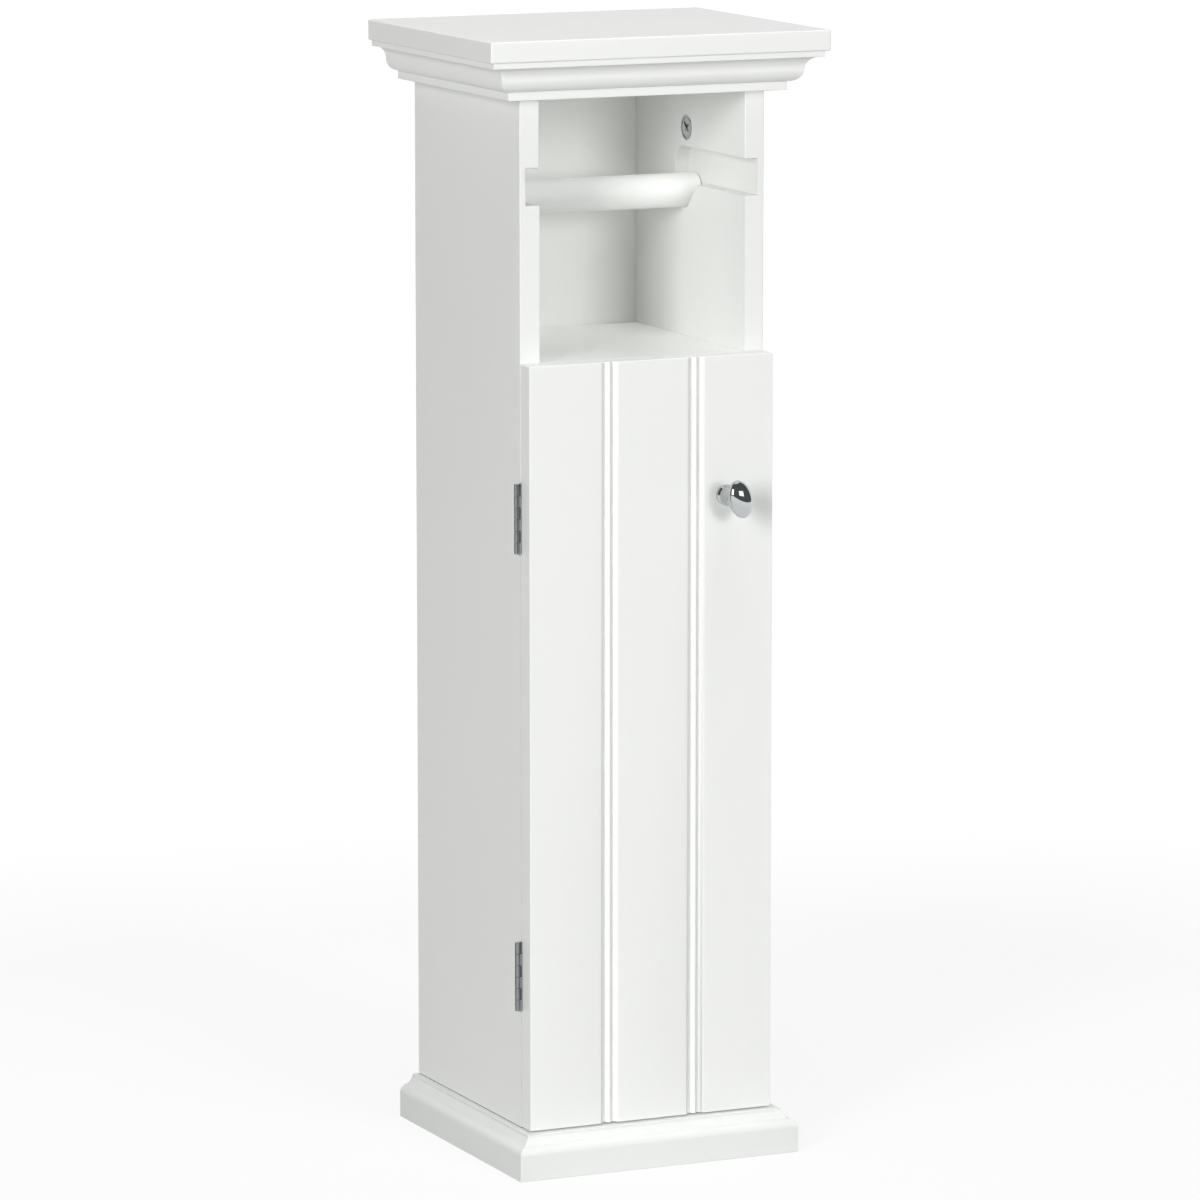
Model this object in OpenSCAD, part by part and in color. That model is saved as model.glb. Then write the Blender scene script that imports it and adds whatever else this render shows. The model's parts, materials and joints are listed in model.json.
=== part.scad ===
// Free-standing storage cabinet for toilet rolls: a moulded plinth, a narrow carcass with a
// storage bay behind a planked door, an open roll niche with a lift-out bar, and a crowned top.
// The origin is on the floor under the middle of the whole cabinet, knob included.
// +Z is up, the door faces -Y, and the bar runs along X.

/* [Carcass] */
// Height from the floor to the top
total_h = 650; // [640:1:660]
// Width over the side panels
body_w = 152; // [148:1:156]
// Depth of the side panels
body_d = 150; // [146:1:154]
// Thickness of the side panels, the shelf, the bottom board and the door
board_t = 12; // [12:0.5:13]
// Thickness of the back panel
back_t = 3; // [3:0.5:4]
// Width of the rebate in the side panels that the back panel lies in
rebate_w = 6; // [5:0.5:7]
// Height of the niche floor, which is the top of the shelf
shelf_top = 466; // [460:1:470]

/* [Crown] */
// Width of the top board
top_w = 210; // [206:1:214]
// Depth of the top board
top_d = 177; // [174:1:180]
// Thickness of the top board
top_t = 12; // [11:0.5:13]
// Thickness of the crown board under the top board
crown_t = 23; // [22:0.5:24]
// Height of the crown board's bare strip below the moulding
strip_h = 5; // [4:0.5:6]
// Radius of both curves of the crown moulding
ogee_r = 7.25; // [7:0.05:7.5]
// How far the moulding's top fillet stands out past the curves
fillet_out = 1.5; // [1:0.5:2]
// How far the top board stands out past the moulding
top_lip = 2.5; // [2:0.5:3.5]

/* [Plinth] */
// Width of the plinth
plinth_w = 176; // [172:1:180]
// Depth of the plinth
plinth_d = 176; // [174:1:180]
// Height of the plinth
plinth_h = 25; // [24:0.5:26]
// Height of the plinth's upright face
plinth_face_h = 14.5; // [14:0.5:16]
// Radius of the round above the upright face
plinth_round_r = 5; // [4.5:0.5:5.5]
// Distance of the plinth's top edge inside its upright face
plinth_step_in = 8; // [7:0.5:8]
// Width of the plinth's moulded rails
rail_w = 38; // [34:1:42]
// Width of the plinth's rear rail
rear_rail_w = 20; // [18:1:24]

/* [Roll bar] */
// Diameter of the bar
bar_d = 20; // [18:0.5:20]
// Height of the slot in the side panels
slot_h = 21; // [21:0.5:21.5]
// Depth of the slot in the side panels
slot_depth = 8.4; // [8:0.2:9]
// Distance of the slot's level run below the top of the side panels
slot_down = 49.5; // [48:0.5:52]
// How far the pocket at the end of the slot drops
slot_drop = 15; // [14:0.5:16]
// Distance of the pocket behind the panel's front edge
pocket_back = 82.5; // [78:0.5:86]
// Play of the bar at each end
bar_end_play = 0.4; // [0.3:0.1:1]

/* [Door] */
// Gap between the door and the carcass
door_gap = 1; // [1:0.1:1.2]
// Gap between the door and the plinth
door_clear = 1; // [1:0.25:2]
// Width of one V groove
groove_w = 5; // [4:0.5:6]
// Depth of one V groove
groove_depth = 2.5; // [2:0.25:3]
// Distance of each pair of grooves from the middle of the door
groove_x = 27; // [24:0.5:30]
// How far both pairs are shifted to the right
groove_shift = 0.8; // [0:0.1:1.5]

/* [Hinges] */
// Length of a hinge
hinge_l = 40; // [38:1:42]
// Distance of a hinge's middle from the door's top or bottom edge
hinge_inset = 88; // [80:1:96]
// Outer diameter of the barrel
barrel_d = 3; // [3:0.1:3.2]
// Diameter of the hinge pin
pin_d = 1.2; // [1.1:0.1:1.3]
// Thickness of a leaf
leaf_t = 0.9; // [0.8:0.05:0.9]
// Number of knuckles on a hinge
knuckles = 6; // [4:2:8]
// Distance of the pin outside the side panel
pin_out = 2.5; // [2.2:0.1:3]

/* [Knob] */
// Distance of the knob from the door's right edge
knob_in = 30; // [26:1:34]
// Distance of the knob below the door's top edge
knob_down = 80; // [74:1:86]
// How far the knob stands out from the door
knob_out = 25; // [24:0.5:27]
// Length of the oval head
head_l = 22.4; // [20:0.2:24]
// Width of the oval head
head_w = 14.6; // [13:0.2:16]
// Thickness of the oval head
head_t = 10; // [9:0.5:11]
// How far the knob is turned on its screw, top to the left
knob_turn = 15; // [0:1:20]
// Diameter of the knob's foot
foot_d = 12; // [11:0.5:13]

/* [Joinery] */
// Diameter of a cam lock
cam_d = 15; // [14.5:0.5:15]
// Thickness of a cam lock
cam_t = 9.5; // [9:0.5:10]
// Distance of a cam lock's middle from the end of its board
cam_set = 28; // [26:0.5:28.5]
// Distance of the cam locks behind the front edge
cam_back = 78; // [74:1:82]
// Diameter of a dowel
dowel_d = 6; // [5:0.5:6]
// Distance of the dowels from the front and rear edges
dowel_in = 25; // [20:1:30]

/* [Hidden] */
$fn = 64;
slack = 0.05;       // play round a screw, dowel or lock in its hole
cut = 1;            // how far a cutting solid runs past the face it cuts
paint = "#eef0ed";
metal = "#b9bdbd";
timber = "#d8b98a";

half_w = body_w / 2;
inner_x = half_w - board_t;
total_d = body_d + door_gap + board_t + knob_out;
rear = total_d / 2;
front = rear - body_d;
back_face = rear - back_t;
side_top = total_h - top_t - crown_t;
side_h = side_top - plinth_h;
mid_t = board_t / 2;
panel_mid = inner_x + mid_t;

dowel_l = 30;
dowel_deep = 8;     // depth of a dowel in the 12 mm face of a side panel
dowel_rows = [front + dowel_in, rear - dowel_in];
cam_y = front + cam_back;
bolt_thread = 9;
thread_r = 2.5;
bolt_bore_r = 3;
ball_r = 2.6;
neck_r = 1.7;
ball_off = 3.2;     // distance of a bolt's ball end from the middle of its cam lock
shelf_z = shelf_top - board_t;

moulding_z = side_top + strip_h;
moulding_h = crown_t - strip_h;
moulding_w = 2 * ogee_r + fillet_out;
top_y = rear - top_d;
top_z = total_h - top_t;
crown_x = top_w / 2 - top_lip - moulding_w;
crown_y = top_y + top_lip + moulding_w;

plinth_x = plinth_w / 2;
plinth_y = rear - plinth_d;
plinth_screw_rows = [front + 40, rear - 40];
rail_screw_rows = [front + 6, rear - 10];
rail_screw_x = 30;
plinth_edge_h = 1.5;    // upright edge above the slope at the top of the plinth
counterbore = 4;
counterbore_r = 4.5;

// wood screws: length, shank radius and head radius
panel_screw = [41, 1.9, 3.8];
rail_screw = [28, 1.9, 3.8];
top_screw = [30, 1.9, 3.8];
leaf_screw = [10, 1, 2.1];
catch_screw = [11, 1.3, 2.7];
strike_screw = [10, 1.3, 2.6];
top_screw_rows = [front + 30, rear - 30];
top_screw_x = 50;

slot_r = slot_h / 2;
slot_z = side_top - slot_down;
bar_y = front + pocket_back;
bar_z = slot_z - slot_drop;

door_back = front - door_gap;
door_face = door_back - board_t;
door_top = shelf_top;
door_bottom = plinth_h + door_clear;
door_h = door_top - door_bottom;
door_x = half_w;

barrel_r = barrel_d / 2;
hinge_x = -half_w - pin_out;
hinge_y = front - door_gap / 2;
hinge_rows = [door_bottom + hinge_inset, door_top - hinge_inset];
knuckle_l = hinge_l / knuckles;
knuckle_gap = 0.15;
leaf_from = barrel_r + 0.4;
leaf_to = pin_out + board_t - 2.5;
recess_t = barrel_r - door_gap / 2;
hinge_screw_rows = [-12, 12];
hinge_screw_x = (leaf_from + leaf_to) / 2 + 0.2;

knob_x = door_x - knob_in;
knob_z = door_top - knob_down;
screw_r = 2;

catch_z = shelf_z - 29;
catch_h = 26;
catch_w = 13;
catch_y = front + 0.5;
catch_d = 14;
ear_h = 44;
ear_t = 2.5;
magnet_size = [6, 10, 20];
pole_t = 1;
strike_w = 12;
strike_t = 1;

pin_l = 18;
pin_r = 0.6;
pin_head_r = 1.3;
pin_head_t = 0.6;
pin_margin = 25;
pin_rows = [for (i = [0:5]) plinth_h + pin_margin + i * (side_h - 2 * pin_margin) / 5];

// ---- shared shapes ----

module both_sides() {
    children();
    mirror([1, 0, 0]) children();
}

// a disc or rod along +X
module rod_x(r, l) {
    rotate([0, 90, 0]) cylinder(r = r, h = l);
}

// countersunk screw along +Z, its flat head at z = 0; with play it is the hole for one
module wood_screw(size, play = 0) {
    l = size[0] + play;
    r = size[1];
    head_r = size[2];
    point = 2 * r;
    difference() {
        union() {
            cylinder(r1 = head_r + play, r2 = r + play, h = head_r - r);
            cylinder(r = r + play, h = l - point);
            translate([0, 0, l - point])
                cylinder(r1 = r + play, r2 = 0.2 + play, h = point + play);
        }
        if (play == 0)
            for (a = [0, 90])
                rotate(a) translate([-head_r * 0.55, -head_r * 0.12, -cut])
                    cube([head_r * 1.1, head_r * 0.24, cut + head_r * 0.4]);
    }
}

// outline of the crown moulding: X outwards, Y up
module crown_section() {
    intersection() {
        translate([0, ogee_r]) circle(ogee_r);
        square(ogee_r);
    }
    difference() {
        translate([0, ogee_r]) square([2 * ogee_r, ogee_r]);
        translate([2 * ogee_r, ogee_r]) circle(ogee_r);
    }
    translate([0, 2 * ogee_r]) square([moulding_w, moulding_h - 2 * ogee_r]);
}

// outline of a plinth rail: X outwards from its inner edge, Y up
module plinth_section() {
    round_x = rail_w - plinth_round_r;
    edge_x = rail_w - plinth_step_in;
    square([rail_w, plinth_face_h]);
    translate([round_x, plinth_face_h]) intersection() {
        circle(plinth_round_r);
        square(plinth_round_r);
    }
    polygon([
        [0, 0], [round_x, 0], [round_x, plinth_face_h + plinth_round_r],
        [edge_x, plinth_h - plinth_edge_h], [edge_x, plinth_h], [0, plinth_h]
    ]);
}

// the right-hand length of a moulding, mitred at the front
module side_length(inner, outer, inner_front, outer_front) {
    intersection() {
        translate([inner, rear, 0]) rotate([90, 0, 0])
            linear_extrude(height = rear - outer_front + cut) children();
        linear_extrude(height = total_h) polygon([
            [inner, inner_front], [outer, outer_front], [outer, rear], [inner, rear]
        ]);
    }
}

// the front length of a moulding, mitred at both ends
module front_length(inner, outer, inner_front, outer_front) {
    intersection() {
        translate([outer, inner_front, 0]) rotate([90, 0, -90])
            linear_extrude(height = 2 * outer) children();
        linear_extrude(height = total_h) polygon([
            [-inner, inner_front], [inner, inner_front],
            [outer, outer_front], [-outer, outer_front]
        ]);
    }
}

// ---- cam joints and dowels ----

// cam lock with its slotted face at z = 0, taking a bolt from +X
module cam_lock() {
    slot = [8.4, 1.6, 2];
    mark = [3, 2, 1.5];
    difference() {
        cylinder(r = cam_d / 2 - slack, h = cam_t);
        for (a = [45, 135])
            rotate(a) translate([-slot[0] / 2, -slot[1] / 2, -cut])
                cube([slot[0], slot[1], cut + slot[2]]);
        rotate(-45) translate([cam_d / 2 - 1.6, -mark[1] / 2, -cut])
            cube([mark[0], mark[1], cut + mark[2]]);
        translate([ball_off - ball_r - slack, 0, mid_t]) rod_x(bolt_bore_r, cam_d);
    }
}

// cam bolt along Z: its thread above z = 0, its shank and ball end below
module cam_bolt() {
    cylinder(r = thread_r, h = bolt_thread);
    translate([0, 0, -1]) cylinder(r = bolt_bore_r - 0.1, h = 1);
    translate([0, 0, ball_off - cam_set]) {
        cylinder(r = neck_r, h = cam_set - ball_off);
        sphere(r = ball_r);
    }
}

module cam_pocket() {
    translate([0, 0, -cut]) cylinder(r = cam_d / 2, h = cam_t + slack + cut);
}

module dowel() {
    edge = 1;
    rotate_extrude() polygon([
        [0, 0], [dowel_d / 2 - edge, 0], [dowel_d / 2, edge],
        [dowel_d / 2, dowel_l - edge], [dowel_d / 2 - edge, dowel_l], [0, dowel_l]
    ]);
}

// places its children in the left panel's top joint, Z into the panel's face and X up
module on_top_cam() {
    translate([-inner_x, cam_y, side_top - cam_set]) rotate([0, -90, 0]) children();
}

// bores for the joint between a side panel and the crown board, on the left
module top_joint_bores() {
    translate([-panel_mid, cam_y, side_top - cam_set])
        cylinder(r = bolt_bore_r, h = cam_set + slack);
    translate([-panel_mid, cam_y, side_top])
        cylinder(r = thread_r + slack, h = bolt_thread + slack);
    for (y = dowel_rows)
        translate([-panel_mid, y, side_top - dowel_l / 2 - slack])
            cylinder(r = dowel_d / 2 + slack, h = dowel_l + 2 * slack);
}

// bores for the joint between a side panel and a board at height z, on the right
module board_joint_bores(z) {
    translate([inner_x - cam_set, cam_y, z + mid_t]) rod_x(bolt_bore_r, cam_set + slack);
    translate([inner_x, cam_y, z + mid_t]) rod_x(thread_r + slack, bolt_thread + slack);
    for (y = dowel_rows)
        translate([inner_x + dowel_deep - dowel_l - slack, y, z + mid_t])
            rod_x(dowel_d / 2 + slack, dowel_l + 2 * slack);
}

module cam_locks() {
    color(metal) both_sides() {
        on_top_cam() cam_lock();
        for (z = [plinth_h, shelf_z])
            translate([inner_x - cam_set, cam_y, z]) cam_lock();
    }
}

module cam_bolts() {
    color(metal) both_sides() {
        translate([-panel_mid, cam_y, side_top]) cam_bolt();
        for (z = [plinth_h, shelf_z])
            translate([inner_x, cam_y, z + mid_t]) rotate([0, 90, 0]) cam_bolt();
    }
}

module dowels() {
    color(timber) both_sides() {
        for (y = dowel_rows) {
            translate([-panel_mid, y, side_top - dowel_l / 2]) dowel();
            for (z = [plinth_h, shelf_z])
                translate([inner_x + dowel_deep - dowel_l, y, z + mid_t])
                    rotate([0, 90, 0]) dowel();
        }
    }
}

// ---- side panels ----

// the routed slot for the roll bar in the right panel: a level run, open at the front,
// with a round-ended pocket and a sloping lead-in at its rear end
module bar_slot() {
    deep = slot_depth + cut;
    tangent = slot_r * sqrt(0.5);
    run_in = slot_drop - slot_r + tangent;
    translate([inner_x - cut, 0, 0]) {
        translate([0, front - cut, slot_z - slot_r]) cube([deep, pocket_back + cut, slot_h]);
        translate([0, bar_y, slot_z]) rod_x(slot_r, deep);
        translate([0, bar_y, bar_z]) rod_x(slot_r, deep);
        translate([0, bar_y - slot_r, bar_z]) cube([deep, slot_h, slot_drop]);
        rotate([90, 0, 90]) linear_extrude(height = deep) polygon([
            [bar_y - tangent, bar_z - tangent], [bar_y, bar_z - tangent],
            [bar_y, slot_z], [bar_y - tangent - run_in, slot_z - slot_r]
        ]);
    }
}

// the right-hand panel without the fittings that only one side has
module side_panel() {
    difference() {
        translate([inner_x, front, plinth_h]) cube([board_t, body_d, side_h]);
        bar_slot();
        translate([inner_x - cut, back_face, plinth_h - cut])
            cube([rebate_w + cut, back_t + cut, side_h + 2 * cut]);
        mirror([1, 0, 0]) {
            top_joint_bores();
            on_top_cam() cam_pocket();
        }
        board_joint_bores(plinth_h);
        board_joint_bores(shelf_z);
        for (y = plinth_screw_rows) translate([panel_mid, y, 0]) plinth_screw_long(slack);
        for (z = pin_rows) back_pin(z, slack);
    }
}

module side_panel_left() {
    color(paint) difference() {
        mirror([1, 0, 0]) side_panel();
        for (z = hinge_rows) {
            translate([-half_w - cut, front - cut, z - hinge_l / 2 - slack])
                cube([hinge_x + leaf_to + half_w + slack + cut, recess_t + cut,
                      hinge_l + 2 * slack]);
            hinge_screws_at(z, 1, slack);
        }
    }
}

module side_panel_right() {
    color(paint) difference() {
        side_panel();
        catch_screw_pair(slack);
    }
}

// ---- boards between and behind the side panels ----

module carcass_board(z) {
    difference() {
        translate([-inner_x, front, z]) cube([2 * inner_x, back_face - front, board_t]);
        both_sides() {
            board_joint_bores(z);
            translate([inner_x - cam_set, cam_y, z]) cam_pocket();
        }
    }
}

module bottom_board() {
    color(paint) difference() {
        carcass_board(plinth_h);
        rail_screws(slack);
    }
}

module middle_shelf() {
    color(paint) carcass_board(shelf_z);
}

module back_panel() {
    color(paint) difference() {
        translate([-inner_x - rebate_w, back_face, plinth_h])
            cube([2 * (inner_x + rebate_w), back_t, side_h]);
        both_sides() for (z = pin_rows) back_pin(z, slack);
    }
}

// one pin through the right edge of the back panel
module back_pin(z, play = 0) {
    translate([inner_x + rebate_w / 2, rear, z]) rotate([90, 0, 0]) {
        cylinder(r = pin_head_r + play, h = pin_head_t + play);
        cylinder(r = pin_r + play, h = pin_l + play);
    }
}

module back_panel_pins() {
    color(metal) both_sides() for (z = pin_rows) back_pin(z);
}

// ---- crown ----

module crown_board() {
    color(paint) difference() {
        translate([-crown_x, crown_y, side_top]) cube([2 * crown_x, rear - crown_y, crown_t]);
        both_sides() top_joint_bores();
        top_screws(slack);
    }
}

module top_board() {
    color(paint) difference() {
        translate([-top_w / 2, top_y, top_z]) cube([top_w, top_d, top_t]);
        top_screws(slack);
    }
}

module crown_moulding_front() {
    color(paint) front_length(crown_x, crown_x + moulding_w, crown_y, crown_y - moulding_w)
        translate([0, moulding_z]) crown_section();
}

module crown_moulding_right() {
    color(paint) side_length(crown_x, crown_x + moulding_w, crown_y, crown_y - moulding_w)
        translate([0, moulding_z]) crown_section();
}

module crown_moulding_left() {
    mirror([1, 0, 0]) crown_moulding_right();
}

// four screws up through the crown board into the top board
module top_screws(play = 0) {
    both_sides() for (y = top_screw_rows)
        translate([top_screw_x, y, side_top - play]) wood_screw(top_screw, play);
}

module top_board_screws() {
    color(metal) top_screws();
}

// ---- plinth ----

module plinth_front() {
    color(paint) difference() {
        front_length(plinth_x - rail_w, plinth_x, plinth_y + rail_w, plinth_y) plinth_section();
        rail_screws(slack);
    }
}

module plinth_right() {
    color(paint) difference() {
        side_length(plinth_x - rail_w, plinth_x, plinth_y + rail_w, plinth_y) plinth_section();
        for (y = plinth_screw_rows) translate([panel_mid, y, 0]) plinth_screw_long(slack);
    }
}

module plinth_left() {
    mirror([1, 0, 0]) plinth_right();
}

module plinth_rear() {
    color(paint) difference() {
        translate([rail_w - plinth_x, rear - rear_rail_w, 0])
            cube([2 * (plinth_x - rail_w), rear_rail_w, plinth_h]);
        rail_screws(slack);
    }
}

module plinth_screw(size, play) {
    if (play > 0) translate([0, 0, -cut]) cylinder(r = counterbore_r, h = counterbore + cut);
    translate([0, 0, counterbore - play]) wood_screw(size, play);
}

module plinth_screw_long(play = 0) {
    plinth_screw(panel_screw, play);
}

// the short screws from the front and rear rails into the bottom board
module rail_screws(play = 0) {
    both_sides() for (y = rail_screw_rows)
        translate([rail_screw_x, y, 0]) plinth_screw(rail_screw, play);
}

module plinth_screws() {
    color(metal) {
        both_sides() for (y = plinth_screw_rows) translate([panel_mid, y, 0]) plinth_screw_long();
        rail_screws();
    }
}

// ---- door ----

module door_panel() {
    color(paint) difference() {
        translate([-door_x, door_face, door_bottom]) cube([body_w, board_t, door_h]);
        for (side = [-1, 1], step = [-1, 1])
            v_groove(groove_shift + side * groove_x + step * groove_w / 2);
        for (z = hinge_rows) {
            translate([-door_x - cut, door_back - recess_t, z - hinge_l / 2 - slack])
                cube([hinge_x + leaf_to + door_x + slack + cut, recess_t + cut,
                      hinge_l + 2 * slack]);
            hinge_screws_at(z, -1, slack);
        }
        translate([knob_x, door_face - cut, knob_z]) rotate([-90, 0, 0])
            cylinder(r = screw_r + 0.2, h = board_t + 2 * cut);
        strike_screw_in(slack);
    }
}

// one V groove down the whole face of the door
module v_groove(x) {
    flare = cut * groove_w / 2 / groove_depth;
    translate([x, door_face, door_bottom - cut])
        linear_extrude(height = door_h + 2 * cut) polygon([
            [-groove_w / 2 - flare, -cut], [groove_w / 2 + flare, -cut], [0, groove_depth]
        ]);
}

// ---- hinges ----

// one leaf with every second knuckle; side is 1 for the cabinet and -1 for the door
module hinge_leaf(side, first_knuckle) {
    y_low = side > 0 ? barrel_r - leaf_t : -barrel_r;
    difference() {
        union() {
            translate([leaf_from, y_low, -hinge_l / 2])
                cube([leaf_to - leaf_from, leaf_t, hinge_l]);
            for (i = [first_knuckle:2:knuckles - 1])
                translate([0, 0, hinge_l / 2 - (i + 1) * knuckle_l + knuckle_gap / 2]) {
                    cylinder(r = barrel_r, h = knuckle_l - knuckle_gap);
                    translate([0, y_low, 0])
                        cube([leaf_from + slack, leaf_t, knuckle_l - knuckle_gap]);
                }
        }
        translate([0, 0, -hinge_l]) cylinder(r = pin_d / 2 + 0.05, h = 2 * hinge_l);
        hinge_screw_pair(side, slack);
    }
}

// the two screws of one leaf, pointing away from the other leaf
module hinge_screw_pair(side, play = 0) {
    for (z = hinge_screw_rows)
        translate([hinge_screw_x, side * (barrel_r - leaf_t - play), z])
            rotate([side * -90, 0, 0]) wood_screw(leaf_screw, play);
}

module hinge_screws_at(z, side, play = 0) {
    translate([hinge_x, hinge_y, z]) hinge_screw_pair(side, play);
}

module hinge_pin() {
    translate([0, 0, -hinge_l / 2]) cylinder(r = pin_d / 2, h = hinge_l);
}

module at_hinge(i) {
    color(metal) translate([hinge_x, hinge_y, hinge_rows[i]]) children();
}

module lower_hinge_cabinet_leaf() {
    at_hinge(0) hinge_leaf(1, 0);
}

module upper_hinge_cabinet_leaf() {
    at_hinge(1) hinge_leaf(1, 0);
}

module lower_hinge_door_leaf() {
    at_hinge(0) hinge_leaf(-1, 1);
}

module upper_hinge_door_leaf() {
    at_hinge(1) hinge_leaf(-1, 1);
}

module lower_hinge_pin() {
    at_hinge(0) hinge_pin();
}

module upper_hinge_pin() {
    at_hinge(1) hinge_pin();
}

module cabinet_hinge_screws() {
    color(metal) for (z = hinge_rows) hinge_screws_at(z, 1);
}

module door_hinge_screws() {
    color(metal) for (z = hinge_rows) hinge_screws_at(z, -1);
}

// ---- magnetic catch ----

module catch_housing() {
    pocket = [magnet_size[0] + 2 * pole_t, magnet_size[1], magnet_size[2]];
    color("white") difference() {
        union() {
            translate([inner_x - catch_w, catch_y, catch_z - catch_h / 2])
                cube([catch_w, catch_d, catch_h]);
            translate([inner_x - ear_t, catch_y, catch_z - ear_h / 2])
                cube([ear_t, catch_d, ear_h]);
        }
        translate([inner_x - catch_w / 2 - pocket[0] / 2 - slack, catch_y - cut,
                   catch_z - pocket[2] / 2 - slack])
            cube([pocket[0] + 2 * slack, pocket[1] + cut, pocket[2] + 2 * slack]);
        catch_screw_pair(slack);
    }
}

module catch_magnet() {
    color("dimgray") translate([inner_x - catch_w / 2 - magnet_size[0] / 2, catch_y + 0.5,
                                catch_z - magnet_size[2] / 2])
        cube([magnet_size[0], magnet_size[1] - 0.5, magnet_size[2]]);
}

module catch_pole_plates() {
    color(metal) for (side = [-1, 1])
        translate([inner_x - catch_w / 2 + side * (magnet_size[0] + pole_t) / 2 - pole_t / 2,
                   catch_y - 0.3, catch_z - magnet_size[2] / 2])
            cube([pole_t, magnet_size[1] + 0.3, magnet_size[2]]);
}

module catch_screw_pair(play = 0) {
    for (side = [-1, 1])
        translate([inner_x - ear_t - play, catch_y + catch_d / 2, catch_z + side * 17.5])
            rotate([0, 90, 0]) wood_screw(catch_screw, play);
}

module catch_screws() {
    color(metal) catch_screw_pair();
}

module strike_plate() {
    color(metal) difference() {
        translate([inner_x - catch_w / 2 - strike_w / 2, door_back, catch_z - catch_h / 2])
            cube([strike_w, strike_t, catch_h]);
        strike_screw_in(slack);
    }
}

module strike_screw_in(play = 0) {
    translate([inner_x - catch_w / 2, door_back + strike_t + play, catch_z])
        rotate([90, 0, 0]) wood_screw(strike_screw, play);
}

module strike_plate_screw() {
    color(metal) strike_screw_in();
}

// ---- knob ----

module knob() {
    head_z = knob_out - head_t / 2;
    neck = 5;
    stem = [[4.8, 3.8], [4.4, 6], [4.3, 9], [4.4, 12]];
    color(metal) translate([knob_x, door_face, knob_z]) rotate([90, 0, 0]) difference() {
        union() {
            rotate_extrude() polygon(concat([
                [0, 0], [foot_d / 2 - 0.4, 0], [foot_d / 2, 0.4], [foot_d / 2, 2.2]
            ], stem, [[neck, 15], [neck, head_z], [0, head_z]]));
            translate([0, 0, head_z]) rotate(knob_turn)
                scale([head_w / head_l, 1, head_t / head_l]) sphere(d = head_l);
        }
        translate([0, 0, -cut]) cylinder(r = screw_r + slack, h = 9 + cut);
    }
}

// pan-head screw from inside the door into the knob
module knob_screw() {
    head_r = 3.9;
    head_h = 2.3;
    color(metal) translate([knob_x, door_back, knob_z]) rotate([90, 0, 0]) difference() {
        union() {
            translate([0, 0, -head_h]) cylinder(r1 = head_r - 0.6, r2 = head_r, h = head_h);
            cylinder(r = screw_r, h = board_t + 8);
        }
        for (a = [0, 90])
            rotate(a) translate([-2, -0.5, -head_h - cut]) cube([4, 1, cut + 1.4]);
    }
}

// ---- roll bar ----

module roll_bar() {
    edge = 0.8;
    r = bar_d / 2;
    half = inner_x + slot_depth - bar_end_play;
    color(paint) translate([0, bar_y, bar_z]) rotate([0, 90, 0]) rotate_extrude() polygon([
        [0, -half], [r - edge, -half], [r, -half + edge],
        [r, half - edge], [r - edge, half], [0, half]
    ]);
}

plinth_front();
plinth_left();
plinth_right();
plinth_rear();
bottom_board();
side_panel_left();
side_panel_right();
middle_shelf();
crown_board();
top_board();
crown_moulding_front();
crown_moulding_left();
crown_moulding_right();
back_panel();
back_panel_pins();
cam_locks();
cam_bolts();
dowels();
plinth_screws();
top_board_screws();
upper_hinge_cabinet_leaf();
lower_hinge_cabinet_leaf();
upper_hinge_pin();
lower_hinge_pin();
cabinet_hinge_screws();
catch_housing();
catch_magnet();
catch_pole_plates();
catch_screws();
door_panel();
upper_hinge_door_leaf();
lower_hinge_door_leaf();
door_hinge_screws();
strike_plate();
strike_plate_screw();
knob();
knob_screw();
roll_bar();
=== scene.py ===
import json
import math
import bmesh
import bpy
from mathutils import Matrix, Vector


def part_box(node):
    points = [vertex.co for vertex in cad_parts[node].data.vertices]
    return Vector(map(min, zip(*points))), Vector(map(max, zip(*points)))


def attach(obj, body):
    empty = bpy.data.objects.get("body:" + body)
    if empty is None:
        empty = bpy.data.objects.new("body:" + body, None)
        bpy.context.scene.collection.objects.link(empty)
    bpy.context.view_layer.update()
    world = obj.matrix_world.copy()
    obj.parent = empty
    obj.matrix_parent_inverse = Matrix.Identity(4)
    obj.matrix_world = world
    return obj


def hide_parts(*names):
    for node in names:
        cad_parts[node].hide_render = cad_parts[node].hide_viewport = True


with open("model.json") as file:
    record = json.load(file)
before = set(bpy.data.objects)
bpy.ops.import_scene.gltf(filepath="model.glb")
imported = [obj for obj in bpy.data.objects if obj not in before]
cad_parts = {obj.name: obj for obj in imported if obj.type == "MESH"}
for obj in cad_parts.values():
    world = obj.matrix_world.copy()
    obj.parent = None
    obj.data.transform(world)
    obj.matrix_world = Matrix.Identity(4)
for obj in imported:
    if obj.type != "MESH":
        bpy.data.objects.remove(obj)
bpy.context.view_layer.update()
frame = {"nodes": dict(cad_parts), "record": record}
cadNodes = frame["nodes"]
record = frame["record"]
scene = bpy.context.scene
scene.view_settings.view_transform = "Standard"
mm = 0.001
tiny = 0.01                          # a difference below this, mostly in mm, counts as none
bodyOf = {n: body for body, members in record["behaviour"]["bodies"].items() for n in members}
slotOf = {part["node"]: part["material_slot"] for part in record["subparts"]}


# one node with its settings; a socket, or another node's first output, is linked to the socket
# that it is given for, and anything else is set there
def addNode(tree, kind, sockets=None, **settings):
    node = tree.nodes.new(kind)
    for name, value in settings.items():
        setattr(node, name, value)
    for key, value in (sockets or {}).items():
        if isinstance(value, bpy.types.Node):
            value = value.outputs[0]
        if isinstance(value, bpy.types.NodeSocket):
            tree.links.new(value, node.inputs[key])
        else:
            node.inputs[key].default_value = value
    return node


def addObject(name, data):
    made = bpy.data.objects.new(name, data)
    scene.collection.objects.link(made)
    return made


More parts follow.
